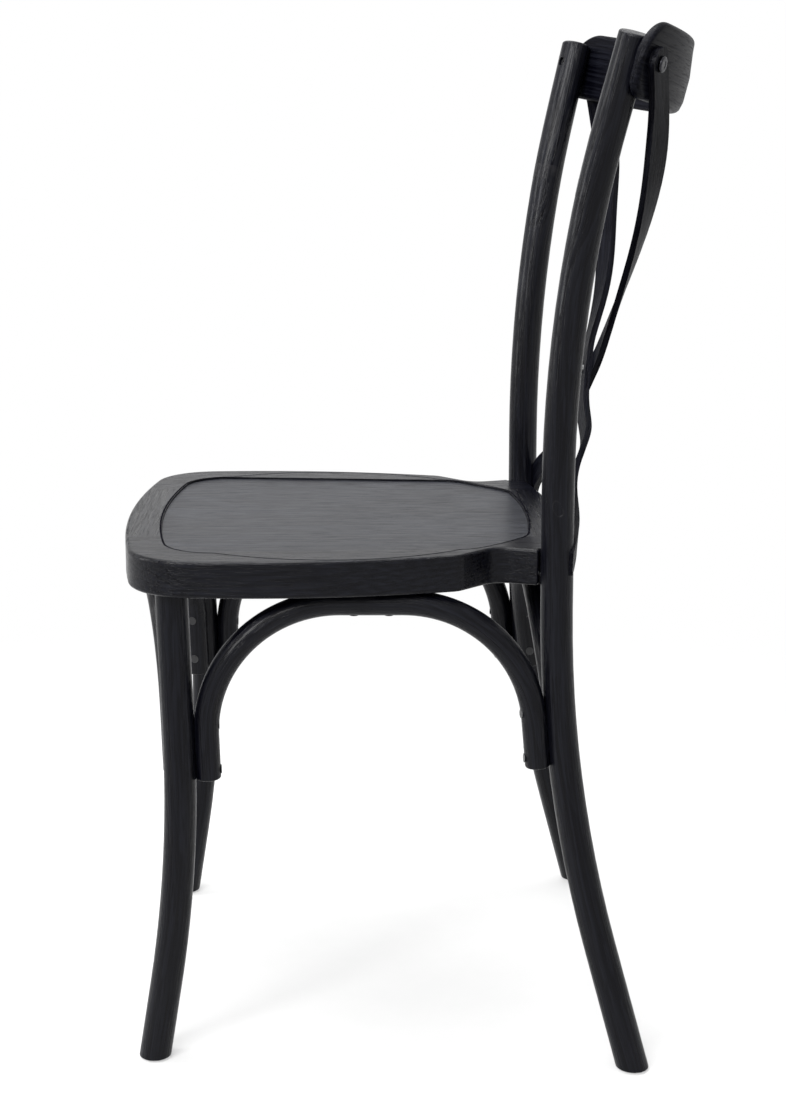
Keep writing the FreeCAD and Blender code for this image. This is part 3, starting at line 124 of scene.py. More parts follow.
# %% Grain of the legs and slats
REAR_LEG = np.array([
    (212.5, 201.4, 2), (200.4, 185.2, 60), (188.0, 168.6, 120), (177.4, 154.3, 180), (167.9, 141.6, 252),
    (161.5, 133.0, 330), (159.0, 129.7, 400), (157.5, 127.7, 550), (159.5, 130.4, 660), (170.0, 144.5, 740),
    (180.0, 158.0, 800), (193.5, 176.0, 885)])
FRONT_LEG = np.array([
    (184.1, -221.2, 2), (180.5, -209.5, 75), (176.0, -200.0, 150), (172.0, -196.5, 215),
    (168.0, -197.5, 300), (162.9, -201.1, 430)])
SLAT = np.array([
    (-178.0, 138.2, 438), (-160.2, 140.7, 449), (-108.9, 147.2, 484), (-70.5, 155.9, 520),
    (-35.6, 164.0, 555), (0, 171.8, 590), (52.8, 189.0, 658), (87.3, 196.3, 701), (126.9, 201.7, 753),
    (161.4, 201.0, 802), (194.3, 194.9, 848), (211.8, 190.2, 875)])
SLAT_SLOPE = 1.35
SIDEWAYS = {"pair": ("ABSOLUTE", 1), "left": ("MULTIPLY", 1), "right": ("MULTIPLY", -1)}


def middle_at(tree, height, table, column):
    """The piece's middle at a height: a curve through the table, from 0 to 1 both ways, scaled back."""
    heights, middles = table[:, 2] * MM, table[:, column] * MM
    low, reach = float(middles.min()), float(np.ptp(middles))
    risen = add(tree, "Math", (height, float(heights[0])), operation="SUBTRACT")[0]
    share = add(tree, "Math", (risen, float(np.ptp(heights))), operation="DIVIDE")[0]
    node = add(tree, "FloatCurve", {"Value": share})[0].node
    curve = node.mapping.curves[0]
    places = np.column_stack(((heights - heights[0]) / np.ptp(heights), (middles - low) / reach))
    for point, place in zip(curve.points, places[[0, -1]]):
        point.location = place
    for place in places[1:-1]:
        curve.points.new(*place)
    node.mapping.update()
    return add(tree, "Math", (node.outputs[0], reach, low), operation="MULTIPLY_ADD")[0]


def rising_grain(tree, side, table, slope):
    """Grain of a piece that rises: height times slope is the length along it, and the distances from its
    middle are the places across. Side says how X is read: its size for a pair, or as it is, or turned."""
    x, y, z = object_axes(tree)
    operation, sign = SIDEWAYS[side]
    sideways = add(tree, "Math", (x, sign), operation=operation)[0]
    off_middle = add(tree, "Math", (sideways, middle_at(tree, z, table, 0)), operation="SUBTRACT")[0]
    across = add(tree, "Math", (off_middle, slope), operation="DIVIDE")[0]
    through = add(tree, "Math", (y, middle_at(tree, z, table, 1)), operation="SUBTRACT")[0]
    along = add(tree, "Math", (z, slope), operation="MULTIPLY")[0]
    return add(tree, "CombineXYZ", (along, across, through))[0]


print("rear leg leans", round(REAR_LEG[0, 0] - REAR_LEG[6, 0]), "mm outwards over its lower half")

# %% [markdown]
# An arch is a rod bent to an upside-down U with rounded corners. Its grain coordinates come from the
# distance to that U, which is the distance field of a rounded box: straight sides, a straight top, and
# quarter circles between them. Height less the distance from the middle grows steadily along the rod, so it
# serves as the length.

# %% Grain of the arches
ARCH_BEND = 115 * MM
ARCH_TOP = 414 * MM
HALF_AND_SPREAD = {"side": (138.4 * MM, 0.035), "front": (140.5 * MM, 0.05), "rear": (130 * MM, 0.083)}
SIDE_ARCH_PLANE, SIDE_ARCH_MIDDLE, SIDE_ARCH_LEAN = 168 * MM, -37.6 * MM, 0.066
FRONT_ARCH_BEND, FRONT_ARCH_SLOPE, FRONT_ARCH_PLANE = 14.3 * MM, 0.2313, -239.3 * MM
REAR_ARCH_TILT, REAR_ARCH_TOP = math.radians(8.3), 149.5 * MM
REAR_ARCH_FOOT = (0, 139.7 * MM, 266 * MM)


def arch_grain(tree, sideways, through, height, top, half, spread):
    """Distance field of a rounded box whose sides spread downwards, as the place across the rod: the way
    past the centres of the corner circles, negative inside them, less the radius of the bend."""
    below = add(tree, "Math", (top, height), operation="SUBTRACT")[0]
    spread_here = add(tree, "Math", (below, spread), operation="MULTIPLY")[0]
    away = add(tree, "Math", (sideways,), operation="ABSOLUTE")[0]
    out = add(tree, "Math", (away, spread_here), operation="SUBTRACT")[0]
    beyond_side = add(tree, "Math", (out, half - ARCH_BEND), operation="SUBTRACT")[0]
    beyond_top = add(tree, "Math", (ARCH_BEND, below), operation="SUBTRACT")[0]
    past = [add(tree, "Math", (part, 0.0), operation="MAXIMUM")[0] for part in (beyond_side, beyond_top)]
    squares = [add(tree, "Math", (part, 2.0), operation="POWER")[0] for part in past]
    corner = add(tree, "Math", (add(tree, "Math", squares, operation="ADD")[0],), operation="SQRT")[0]
    nearer = add(tree, "Math", (beyond_side, beyond_top), operation="MAXIMUM")[0]
    inside = add(tree, "Math", (nearer, 0.0), operation="MINIMUM")[0]
    distance = add(tree, "Math", (corner, inside), operation="ADD")[0]
    across = add(tree, "Math", (distance, ARCH_BEND), operation="SUBTRACT")[0]
    along = add(tree, "Math", (height, out), operation="SUBTRACT")[0]
    return add(tree, "CombineXYZ", (along, across, through))[0]


def side_arch_grain(tree):
    """The side arches stand in two planes beside the chair's middle, and lean back as they rise."""
    x, y, z = object_axes(tree)
    below = add(tree, "Math", (ARCH_TOP, z), operation="SUBTRACT")[0]
    back = add(tree, "Math", (below, SIDE_ARCH_LEAN), operation="MULTIPLY")[0]
    from_middle = add(tree, "Math", (y, SIDE_ARCH_MIDDLE), operation="SUBTRACT")[0]
    sideways = add(tree, "Math", (from_middle, back), operation="SUBTRACT")[0]
    away = add(tree, "Math", (x,), operation="ABSOLUTE")[0]
    through = add(tree, "Math", (away, SIDE_ARCH_PLANE), operation="SUBTRACT")[0]
    return arch_grain(tree, sideways, through, z, ARCH_TOP, *HALF_AND_SPREAD["side"])


def front_arch_grain(tree):
    """Seen from above, the front arch is bowed forwards: two straight halves with a soft bend between,
    a hyperbola whose half width is the root of x squared plus the bend squared."""
    x, y, z = object_axes(tree)
    square = add(tree, "Math", (x, 2.0), operation="POWER")[0]
    softened = add(tree, "Math", (square, FRONT_ARCH_BEND ** 2), operation="ADD")[0]
    away = add(tree, "Math", (softened,), operation="SQRT")[0]
    bow = add(tree, "Math", (away, FRONT_ARCH_SLOPE, FRONT_ARCH_PLANE), operation="MULTIPLY_ADD")[0]
    through = add(tree, "Math", (y, bow), operation="SUBTRACT")[0]
    return arch_grain(tree, x, through, z, ARCH_TOP, *HALF_AND_SPREAD["front"])


def rear_arch_grain(tree):
    """The rear arch leans with the rear legs, so a Mapping node stands it upright on its foot first."""
    upright = add(tree, "Mapping", {
        "Vector": add(tree, "TexCoord")["Object"], "Location": REAR_ARCH_FOOT,
        "Rotation": (REAR_ARCH_TILT, 0, 0)}, vector_type="TEXTURE")
    x, through, height = add(tree, "SeparateXYZ", upright)
    return arch_grain(tree, x, through, height, REAR_ARCH_TOP, *HALF_AND_SPREAD["rear"])


print("arches bend round a radius of", round(ARCH_BEND / MM), "mm")

# %% [markdown]
# The crest rail is one board bent in plan round the sitter's shoulders and tilted back, and it is the piece
# that hands have rounded most: its long edges are full rounds and its ends are ears. A CAD board has small
# edge rounds, so here the rail is worked out anew as a surface of two parameters, the length along the bend
# and the way round the board's section. The places along, across and through the board, kept on the points
# as an attribute, tell the wood material where the grain runs. Lengths are in millimetres, and the middle
# line is the arc of a circle, whose radius and centre come first.

# %% The crest rail's surface
CREST_TILT = math.radians(-12.8)
CREST_MIDDLE = 389.5
CREST_CENTRE = -346.7
CREST_SHIFT = 2.8
CREST_LOW, CREST_HIGH = 851.8, 914.7
CREST_HALF = 232.0
CREST_HALF_THICK = 4.5
CREST_END_THINNED = 0.93
EAR_ABOVE, EAR_BELOW = 38.0, 20.0
EDGE_ROUND = 4.2
DISH = 3.8
POST_REACH = 185.0
RINGS_CROWDED = 1.15
FLAT_SHARES = np.array([[0.12, 0.5, 0.88]])


def quarter(depth, radius):
    """How far a quarter circle has still to rise at this depth from the end: 0 past its radius."""
    left = np.clip(radius - depth, 0, radius)
    return radius - np.sqrt(radius ** 2 - left ** 2)


def rounded_section(half_thick, half_high, turns=10):
    """A rectangle with round corners, as rings of points: each corner's centre plus its quarter circle,
    and on both flat sides a few points at shares of the way to the next corner."""
    bend = np.minimum(EDGE_ROUND, np.minimum(half_thick, half_high))[:, None]
    parts = []
    for number, (side, level) in enumerate(((1, 1), (-1, 1), (-1, -1), (1, -1))):
        angle = np.linspace(number, number + 1, turns)[None, :] * np.pi / 2
        through = side * (half_thick[:, None] - bend) + bend * np.cos(angle)
        across = level * (half_high[:, None] - bend) + bend * np.sin(angle)
        parts.append((through, across))
        if number in (1, 3):
            next_corner = -level * (half_high[:, None] - bend)
            parts.append((through[:, -1:] + 0 * FLAT_SHARES,
                          across[:, -1:] * (1 - FLAT_SHARES) + next_corner * FLAT_SHARES))
    return [np.hstack([part[i] for part in parts]) for i in (0, 1)]


def tube_faces(rows, columns):
    """Quads between neighbouring rings of points, and one face over each end."""
    row, column = np.meshgrid(np.arange(rows - 1), np.arange(columns), indexing="ij")
    after = (column + 1) % columns
    quads = np.stack((row * columns + column, row * columns + after,
                      (row + 1) * columns + after, (row + 1) * columns + column), -1).reshape(-1, 4)
    last = (rows - 1) * columns
    return quads.tolist() + [list(range(columns))[::-1], list(range(last, last + columns))]


def new_piece(name, points, faces, grain=None):
    """A mesh object from points in mm, shaded smooth, that keeps the grain vectors as an attribute."""
    mesh = bpy.data.meshes.new(name)
    mesh.from_pydata((np.asarray(points).reshape(-1, 3) * MM).tolist(), [], faces)
    if grain is not None:
        layer = mesh.attributes.new("grain", "FLOAT_VECTOR", "POINT")
        layer.data.foreach_set("vector", (grain.reshape(-1, 3) * MM).astype(np.float32).ravel())
    mesh.polygons.foreach_set("use_smooth", np.ones(len(mesh.polygons), bool))
    piece = bpy.data.objects.new(name, mesh)
    bpy.context.scene.collection.objects.link(piece)
    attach(piece, "root")
    return piece


def crest_surface(lengthwise=150):
    """The board's section, shrunk to an ear near each end, carried round a circle and tilted back.
    Between the posts the board is dished: its middle lies further back than its edges, by a parabola
    along it, and across it by a cubic that is fullest below the middle."""
    share = np.sin(np.linspace(-np.pi / 2, np.pi / 2, lengthwise))
    along = CREST_HALF * np.sign(share) * (1 - (1 - np.abs(share)) ** RINGS_CROWDED)
    depth = CREST_HALF - np.abs(along)
    high = CREST_HIGH - quarter(depth, EAR_ABOVE)
    low = CREST_LOW + quarter(depth, EAR_BELOW)
    half_thick = CREST_HALF_THICK - quarter(depth, CREST_HALF_THICK) * CREST_END_THINNED
    through, across = rounded_section(half_thick, (high - low) / 2)
    dish = DISH * np.clip(1 - (along / POST_REACH) ** 2, 0, 1)[:, None]
    level = across / (CREST_HIGH - CREST_LOW) * 2
    through = through + dish * (1 - level ** 2) * (1 - level)
    across = across + ((high + low) / 2)[:, None]
    angle = (along / CREST_MIDDLE)[:, None]
    x = (CREST_MIDDLE + through) * np.sin(angle)
    y = CREST_CENTRE + (CREST_MIDDLE + through) * np.cos(angle)
    points = np.stack((x, y * math.cos(CREST_TILT) - across * math.sin(CREST_TILT) + CREST_SHIFT,
                       y * math.sin(CREST_TILT) + across * math.cos(CREST_TILT)), -1)
    grain = np.stack((along[:, None] + 0 * across, across, through), -1)
    return points, grain


def crest_grain(tree):
    """The grain vector that the points of the crest rail carry."""
    return add(tree, "Attribute", attribute_name="grain")["Vector"]


crest_points, crest_grains = crest_surface()
rows, columns = crest_points.shape[:2]
crest = new_piece("bent_crest_rail", crest_points, tube_faces(rows, columns), crest_grains)
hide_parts("crest_rail")
print("crest rail:", rows, "rings of", columns, "points, bent round", round(CREST_MIDDLE), "mm")

# %% [markdown]
# Beech that is stained black and sprayed with satin lacquer keeps its figure: growth rings show as long
# arches and lines, and pores as short dark scratches along the grain. The stain is nearly even in colour, so
# most of what the eye sees is relief under the lacquer, small changes of gloss, and edges where the colour
# has been rubbed thinner. The rings are drawn as shells round a pith that lies beside the piece, at the
# spacing of real rings. Real pores are a tenth of a millimetre wide and would not show at this distance, so
# they are drawn a little over a millimetre wide.

# %% Patterns of the wood
NOISE_SPAN = (0.3, 0.7)
RING_SPACING = 5.0 * MM
WAVER_LENGTH, WAVER_WIDTH, WAVER_DEPTH = 190 * MM, 42 * MM, 24 * MM
LATE_WOOD_FROM, LATE_WOOD_FULL = 0.25, 0.92
PORE_LENGTH, PORE_WIDTH = 28 * MM, 1.2 * MM
PORE_SPAN = (0.52, 0.64)
PITH = (34 * MM, 21 * MM)
WORN_PATCH = 11.1 * MM
PATCH_SPAN = (0.42, 0.62)
EDGE_SPAN = (0.985, 0.80)


def stretched_noise(tree, grain, length, width, detail):
    """Noise drawn out along the grain: one cell is length long and width wide, in metres."""
    shrunk = add(tree, "Mapping", {"Vector": grain, "Scale": (1 / length, 1 / width, 1 / width)})[0]
    return add(tree, "TexNoise", {
        "Vector": shrunk, "Scale": 1.0, "Detail": detail, "Roughness": 0.55})["Fac"]


def growth_rings(tree, grain):
    """Distance from the pith, wavering along the piece, cut into rings: soft early wood, crisp late wood."""
    across_and_through = add(tree, "SeparateXYZ", (grain,))[1:]
    waver = stretched_noise(tree, grain, WAVER_LENGTH, WAVER_WIDTH, 2.0)
    shift = add(tree, "Math", (waver, WAVER_DEPTH), operation="MULTIPLY")[0]
    from_pith = [add(tree, "Math", pair, operation="ADD")[0] for pair in zip(across_and_through, PITH)]
    squares = [add(tree, "Math", (part, 2.0), operation="POWER")[0] for part in from_pith]
    distance = add(tree, "Math", (add(tree, "Math", squares, operation="ADD")[0],), operation="SQRT")[0]
    shifted = add(tree, "Math", (distance, shift), operation="ADD")[0]
    count = add(tree, "Math", (shifted, RING_SPACING), operation="DIVIDE")[0]
    part = add(tree, "Math", (count,), operation="FRACT")[0]
    rise = add(tree, "MapRange", (part, LATE_WOOD_FROM, LATE_WOOD_FULL))[0]
    fall = add(tree, "MapRange", (part, LATE_WOOD_FULL, 1.0, 1.0, 0.0))[0]
    return add(tree, "Math", (rise, fall), operation="MULTIPLY")[0]


def pores(tree, grain):
    """Short dark scratches: the deep end of a noise that is over twenty times as long as it is wide."""
    noise = stretched_noise(tree, grain, PORE_LENGTH, PORE_WIDTH, 2.0)
    return add(tree, "MapRange", (noise, *PORE_SPAN))[0]


def edge_wear(tree, radius):
    """Where the rounded normal leaves the true one, an edge is near, and a patchy noise breaks it up."""
    rounded = add(tree, "Bevel", {"Radius": radius}, samples=4)[0]
    true = add(tree, "NewGeometry")["Normal"]
    agree = add(tree, "VectorMath", (rounded, true), operation="DOT_PRODUCT")["Value"]
    near = add(tree, "MapRange", (agree, *EDGE_SPAN))[0]
    patch = add(tree, "TexNoise", {
        "Vector": add(tree, "TexCoord")["Object"], "Scale": 1 / WORN_PATCH, "Detail": 3.0})["Fac"]
    patchy = add(tree, "MapRange", (patch, *PATCH_SPAN))[0]
    return add(tree, "Math", (near, patchy), operation="MULTIPLY")[0]


print("rings every", round(RING_SPACING / MM, 1), "mm, pores", round(PORE_LENGTH / MM), "mm long")

# %% [markdown]
# The patterns meet in one recipe. Streaks and clouds carry the small changes of tone, and rings and pores
# darken them. The same patterns lift and sink the surface under the lacquer, and the streaks make it a
# little more or less glossy. The crest rail and the slats are sprayed thinner, so their gloss is weaker. The
# seat's panel is veneered plywood: its stain came out greyer, and its figure is finer. The dowels inside
# the seat are raw beech.

# %% The stained wood
WOOD_LOOK = {"dark": "#020206", "light": "#17181f", "worn": "#302f31", "rough": 0.29, "relief": 0.34,
             "gloss": 0.07, "coat": 0.16, "streak": 2.2 * MM}
BACK_LOOK = {**WOOD_LOOK, "rough": 0.42, "gloss": 0.02, "coat": 0.05}
PANEL_LOOK = {"dark": "#131419", "light": "#303238", "worn": "#2c2b2c", "rough": 0.37, "relief": 0.5,
              "gloss": 0.14, "coat": 0.04, "streak": 1.5 * MM}
RAW_LOOK = {"dark": "#a5814f", "light": "#c9a571", "worn": "#d6b888", "rough": 0.62, "relief": 0.25,
            "gloss": 0.3, "coat": 0.0, "streak": 2.2 * MM}
STREAK_LENGTH = 150 * MM
CLOUD_LENGTH, CLOUD_WIDTH = 260 * MM, 60 * MM
STREAK_TONE, CLOUD_TONE = (0.0, 0.75), (-0.15, 0.25)
RING_DARKER, PORE_DARKER = 0.30, 0.45
WOOD_WEAR, WEAR_SHARE = 1.6 * MM, 0.35
STREAK_SMOOTHER, STREAK_ROUGHER, PORE_ROUGHER = 0.05, 0.07, 0.10
RING_RELIEF, STREAK_RELIEF, RELIEF_DEPTH = 0.3, 0.6, 0.6 * MM
LACQUER_IOR, LACQUER_ROUGH = 1.5, 0.19


def wood_colour(tree, look, streaks, clouds, rings, scratches):
    """From dark to light by a tone: streaks plus clouds, less rings and pores; then the worn edges."""
    streak_tone = add(tree, "MapRange", (streaks, *NOISE_SPAN, *STREAK_TONE))[0]
    cloud_tone = add(tree, "MapRange", (clouds, *NOISE_SPAN, *CLOUD_TONE))[0]
    tone = add(tree, "Math", (streak_tone, cloud_tone), operation="ADD")[0]
    for pattern, darker in ((rings, RING_DARKER), (scratches, PORE_DARKER)):
        less = add(tree, "Math", (pattern, darker), operation="MULTIPLY")[0]
        tone = add(tree, "Math", (tone, less), operation="SUBTRACT")[0]
    body = add(tree, "Mix", {"Factor": tone, "A": paint(look["dark"]), "B": paint(look["light"])},
               data_type="RGBA")["Result"]
    wear = add(tree, "Math", (edge_wear(tree, WOOD_WEAR), WEAR_SHARE), operation="MULTIPLY")[0]
    return add(tree, "Mix", {"Factor": wear, "A": body, "B": paint(look["worn"])},
               data_type="RGBA")["Result"]


def wood_roughness(tree, look, streaks, scratches):
    """The look's roughness, less or more by the streaks, and more in the pores."""
    streaked = add(tree, "MapRange", (
        streaks, *NOISE_SPAN, look["rough"] - STREAK_SMOOTHER, look["rough"] + STREAK_ROUGHER))[0]
    in_pores = add(tree, "Math", (scratches, PORE_ROUGHER), operation="MULTIPLY")[0]
    return add(tree, "Math", (streaked, in_pores), operation="ADD")[0]


def wood_relief(tree, look, streaks, rings, scratches):
    """Height is the streaks, less the rings and the pores, as a bump."""
    raised = add(tree, "Math", (streaks, STREAK_RELIEF), operation="MULTIPLY")[0]
    ring_depth = add(tree, "Math", (rings, RING_RELIEF), operation="MULTIPLY")[0]
    sunk = add(tree, "Math", (ring_depth, scratches), operation="ADD")[0]
    height = add(tree, "Math", (raised, sunk), operation="SUBTRACT")[0]
    return add(tree, "Bump", {"Height": height, "Strength": look["relief"], "Distance": RELIEF_DEPTH})[0]


def stained_wood(name, grain_of, look):
    """Stained wood under satin lacquer, with its grain from grain_of."""
    material, tree = new_material(name)
    grain = grain_of(tree)
    rings = growth_rings(tree, grain)
    scratches = pores(tree, grain)
    streaks = stretched_noise(tree, grain, STREAK_LENGTH, look["streak"], 4.0)
    clouds = stretched_noise(tree, grain, CLOUD_LENGTH, CLOUD_WIDTH, 2.0)
    bump = wood_relief(tree, look, streaks, rings, scratches)
    shader = add(tree, "BsdfPrincipled", {
        "Base Color": wood_colour(tree, look, streaks, clouds, rings, scratches),
        "Roughness": wood_roughness(tree, look, streaks, scratches),
        "Normal": bump, "Coat Normal": bump, "IOR": LACQUER_IOR, "Specular IOR Level": look["gloss"],
        "Coat Weight": look["coat"], "Coat Roughness": LACQUER_ROUGH})
    add(tree, "OutputMaterial", shader)
    return material


print("looks of the wood: legs and seat, back, panel, raw")

# %% [markdown]
# One recipe now serves every wooden piece, each time with the grain of that piece. The CAD node keeps its
# mesh, and only its material slots change.

# %% Wood on the chair's pieces
def rear_leg_grain(tree):
    """Both rear legs, from foot to top."""
    return rising_grain(tree, "pair", REAR_LEG, 1.0)


def front_leg_grain(tree):
    """Both front legs."""
    return rising_grain(tree, "pair", FRONT_LEG, 1.0)


def slat_grain_left(tree):
    """The slat that climbs to the sitter's left. It runs aslant, so it is longer than its rise."""
    return rising_grain(tree, "left", SLAT, SLAT_SLOPE)


def slat_grain_right(tree):
    """The slat that climbs to the sitter's right."""
    return rising_grain(tree, "right", SLAT, SLAT_SLOPE)


WOODEN = {
    "black_stained_beech_rear_legs": (("rear_leg_left", "rear_leg_right", "post_plugs"), rear_leg_grain),
    "black_stained_beech_front_legs": (("front_leg_left", "front_leg_right"), front_leg_grain),
    "black_stained_beech_side_arches": (("side_arch_left", "side_arch_right"), side_arch_grain),
    "black_stained_beech_front_arch": (("front_arch",), front_arch_grain),
    "black_stained_beech_rear_arch": (("rear_arch",), rear_arch_grain),
    "black_stained_beech_side_rails": (("seat_side_rail_left", "seat_side_rail_right"), grain_along_depth),
    "black_stained_beech_cross_rails": (("seat_front_rail", "seat_rear_rail"), grain_along_width),
    "black_stained_beech_slat_rear": (("cross_slat_rear",), slat_grain_left),
    "black_stained_beech_slat_front": (("cross_slat_front",), slat_grain_right),
}


def dress(names, material):
    """Gives every slot of these CAD nodes the material."""
    for name in names:
        mesh = nodes[name].data
        if not mesh.materials:
            mesh.materials.append(material)
        for index in range(len(mesh.materials)):
            mesh.materials[index] = material


for name, (pieces, grain_of) in WOODEN.items():
    dress(pieces, stained_wood(name, grain_of, BACK_LOOK if "slat" in name else WOOD_LOOK))
crest.data.materials.append(stained_wood("black_stained_beech_crest_rail", crest_grain, BACK_LOOK))
dress(("seat_panel",), stained_wood("black_stained_veneered_plywood", grain_along_depth, PANEL_LOOK))
dress(("seat_dowels",), stained_wood("raw_turned_beech", grain_along_width, RAW_LOOK))
print("wooden materials:", len(WOODEN) + 3)

# %% [markdown]
# The screws, bolts and nuts are steel with a thin bright zinc plating. The plating follows the rolled and
# pressed metal under it, so it is faintly scratched and a little uneven in gloss, and it dulls in spots.
# The arches and slats are screwed on before the chair is sprayed, so those heads are black as the wood is,
# and show metal only where a driver has rubbed them. Real scratches on plating are finer than the render
# can show, so they are drawn over half a millimetre wide.

# %% Zinc plated steel
ZINC_CLOUD, ZINC_SCRATCH = 2.38 * MM, 0.625 * MM
SCRATCH_DEPTH = 0.05 * MM
ZINC_ROUGHNESS = (0.26, 0.42)
STEEL_WEAR = 0.5 * MM
BRIGHT = {"low": "#8f9195", "high": "#c3c5c9", "worn": "#dfe0e2"}
# On the crest nuts the pale worn colour is partly steel rubbed bare at the edges and partly a painted glint.
BLACKENED_WITH_PAINTED_GLINTS = {"low": "#1c1c1f", "high": "#3a3a3e", "worn": "#c4c5c8"}
SPRAYED = {"low": "#0b0b0d", "high": "#1b1b1e", "worn": "#5b5c60"}
STEEL = ("seat_post_bolts", "post_threaded_inserts")
SPRAYED_STEEL = ("crest_bolts", "arch_end_screws", "arch_top_screws", "panel_screws", "slat_foot_screws",
                 "slat_crossing_rivet")


def plated_steel(name, look, metallic):
    """Clouded roughness and a fine scratch relief; metallic is 1 for bare metal and 0 under lacquer."""
    material, tree = new_material(name)
    place = add(tree, "TexCoord")["Object"]
    clouds = add(tree, "TexNoise", {"Vector": place, "Scale": 1 / ZINC_CLOUD, "Detail": 3.0})["Fac"]
    scratches = add(tree, "TexNoise", {
        "Vector": place, "Scale": 1 / ZINC_SCRATCH, "Detail": 5.0, "Roughness": 0.7})["Fac"]
    body = add(tree, "Mix", {"Factor": clouds, "A": paint(look["low"]), "B": paint(look["high"])},
               data_type="RGBA")["Result"]
    # Pale worn edges; on the crest nuts they are also a painted glint.
    colour = add(tree, "Mix", {"Factor": edge_wear(tree, STEEL_WEAR), "A": body, "B": paint(look["worn"])},
                 data_type="RGBA")["Result"]
    bump = add(tree, "Bump", {"Height": scratches, "Strength": 0.25, "Distance": SCRATCH_DEPTH})[0]
    rough = add(tree, "MapRange", (clouds, *NOISE_SPAN, *ZINC_ROUGHNESS))[0]
    shader = add(tree, "BsdfPrincipled", {
        "Base Color": colour, "Roughness": rough, "Normal": bump, "Metallic": metallic})
    add(tree, "OutputMaterial", shader)
    return material


dress(STEEL, plated_steel("zinc_plated_steel_pressed", BRIGHT, 1.0))
dress(SPRAYED_STEEL, plated_steel("zinc_plated_steel_sprayed_black", SPRAYED, 0.0))
print("bright steel nodes:", len(STEEL), "and sprayed black:", len(SPRAYED_STEEL))

# %% [markdown]
# Behind each end of the crest rail sits a flat nut with a hexagonal socket, the only fastener that the
# photograph shows close up. It is a disc whose height is a function of radius and angle: a socket floor, a
# steep six-sided wall, a flat face and a rounded rim. Blackened steel gives dark faces, and the edges are
# painted pale: partly steel worn bare, partly a painted glint. Sizes are in millimetres, with the nut's
# place on the left side and the way that it faces.

# %% Crest nuts
NUT_PLACE = np.array((204.4, 194.8, 860.7))
NUT_OUT = np.array((0.5117, 0.8378, -0.1904))
NUT_RADIUS, NUT_HIGH = 6.4, 2.6
SOCKET_FLAT, SOCKET_DEEP = 2.6, 2.0
# Rows of the socket: a share of the hexagon's radius, and how deep below the face.
SOCKET_PROFILE = ((0.02, SOCKET_DEEP), (0.9, SOCKET_DEEP), (0.98, SOCKET_DEEP - 0.1), (1.0, 0.3),
                  (1.06, 0.05), (1.15, 0.0))
# Rows of the rim: how far inside the outer radius, and how deep below the face.
RIM_PROFILE = ((1.2, 0.0), (0.6, 0.12), (0.25, 0.4), (0.05, 0.8), (0.0, 1.2), (0.0, NUT_HIGH))


def nut_surface(side, turns=72):
    """Rings from the socket's middle to the rim: radius follows a hexagon inside and a circle outside."""
    angle = np.linspace(0, 2 * np.pi, turns, endpoint=False)
    hexagon = SOCKET_FLAT / np.cos(np.mod(angle, np.pi / 3) - np.pi / 6)
    inner, outer = np.array(SOCKET_PROFILE), np.array(RIM_PROFILE)
    radius = np.vstack((inner[:, :1] * hexagon, NUT_RADIUS - outer[:, :1] + 0 * angle))[..., None]
    level = NUT_HIGH - np.vstack((inner, outer))[:, 1, None, None]
    out = NUT_OUT * (side, 1, 1)
    first = np.cross(out, (0, 0, 1))
    first /= np.linalg.norm(first)
    second = np.cross(out, first)
    around = np.cos(angle)[:, None] * first + np.sin(angle)[:, None] * second * side
    return NUT_PLACE * (side, 1, 1) + level * out + radius * around


blackened = plated_steel("steel_blackened_with_painted_glints", BLACKENED_WITH_PAINTED_GLINTS, 1.0)
for side, word in ((1, "left"), (-1, "right")):
    surface = nut_surface(side)
    faces = [face[::side] for face in tube_faces(*surface.shape[:2])]
    nut = new_piece("crest_nut_" + word, surface, faces)
    nut.data.materials.append(blackened)
    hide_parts("crest_nuts")
print("nut across:", 2 * NUT_RADIUS, "mm")

# %% [markdown]
# Where the panel lies in the ring, the narrow gap between them lies in shade. From the seat's height that
# shaded seam is the only line that parts the panel from the ring on the near side, so its shade is painted
# on as a flat, matt, near-black bead: a painted shadow. The bead follows the panel's outline: the outline's
# distance from the middle at each angle is read from the panel, and five rings of points at small steps
# outside it give the bead's crowned section.

# %% Painted shadow in the seam round the panel
SEAM_MIDDLE = np.array((0.0, -55.0))
# Rows of the bead's section: how far outside the panel's outline, and how high above the floor.
SEAM_RINGS = ((0.3, 456.6), (0.4, 457.02), (1.3, 457.2), (2.2, 457.02), (2.3, 456.6))
TOP_FACE = 0.1
SEAM_SHADE_MOTTLE = 3.33 * MM


def panel_outline(turns=900):
    """The panel's outline as distance from its middle by angle, from the points of its top face."""
    mesh = nodes["seat_panel"].data
    flat = np.zeros(len(mesh.vertices) * 3)
    mesh.vertices.foreach_get("co", flat)
    points = flat.reshape(-1, 3) / MM
    points = points[points[:, 2] > points[:, 2].max() - TOP_FACE, :2] - SEAM_MIDDLE
    angle, reach = np.arctan2(points[:, 1], points[:, 0]), np.hypot(points[:, 0], points[:, 1])
    order = np.argsort(angle)
    turn = np.linspace(-np.pi, np.pi, turns, endpoint=False)
    return turn, np.interp(turn, angle[order], reach[order], period=2 * np.pi)


def seam_surface():
    """Each ring is the outline moved outwards, square to itself, at its own height."""
    turn, reach = panel_outline()
    outline = np.column_stack((reach * np.cos(turn), reach * np.sin(turn)))
    step = np.roll(outline, -1, 0) - np.roll(outline, 1, 0)
    outwards = np.column_stack((step[:, 1], -step[:, 0])) / np.linalg.norm(step, axis=1)[:, None]
    rings = [np.column_stack((outline + SEAM_MIDDLE + away * outwards, np.full(len(turn), level)))
             for away, level in SEAM_RINGS]
    return np.array(rings)


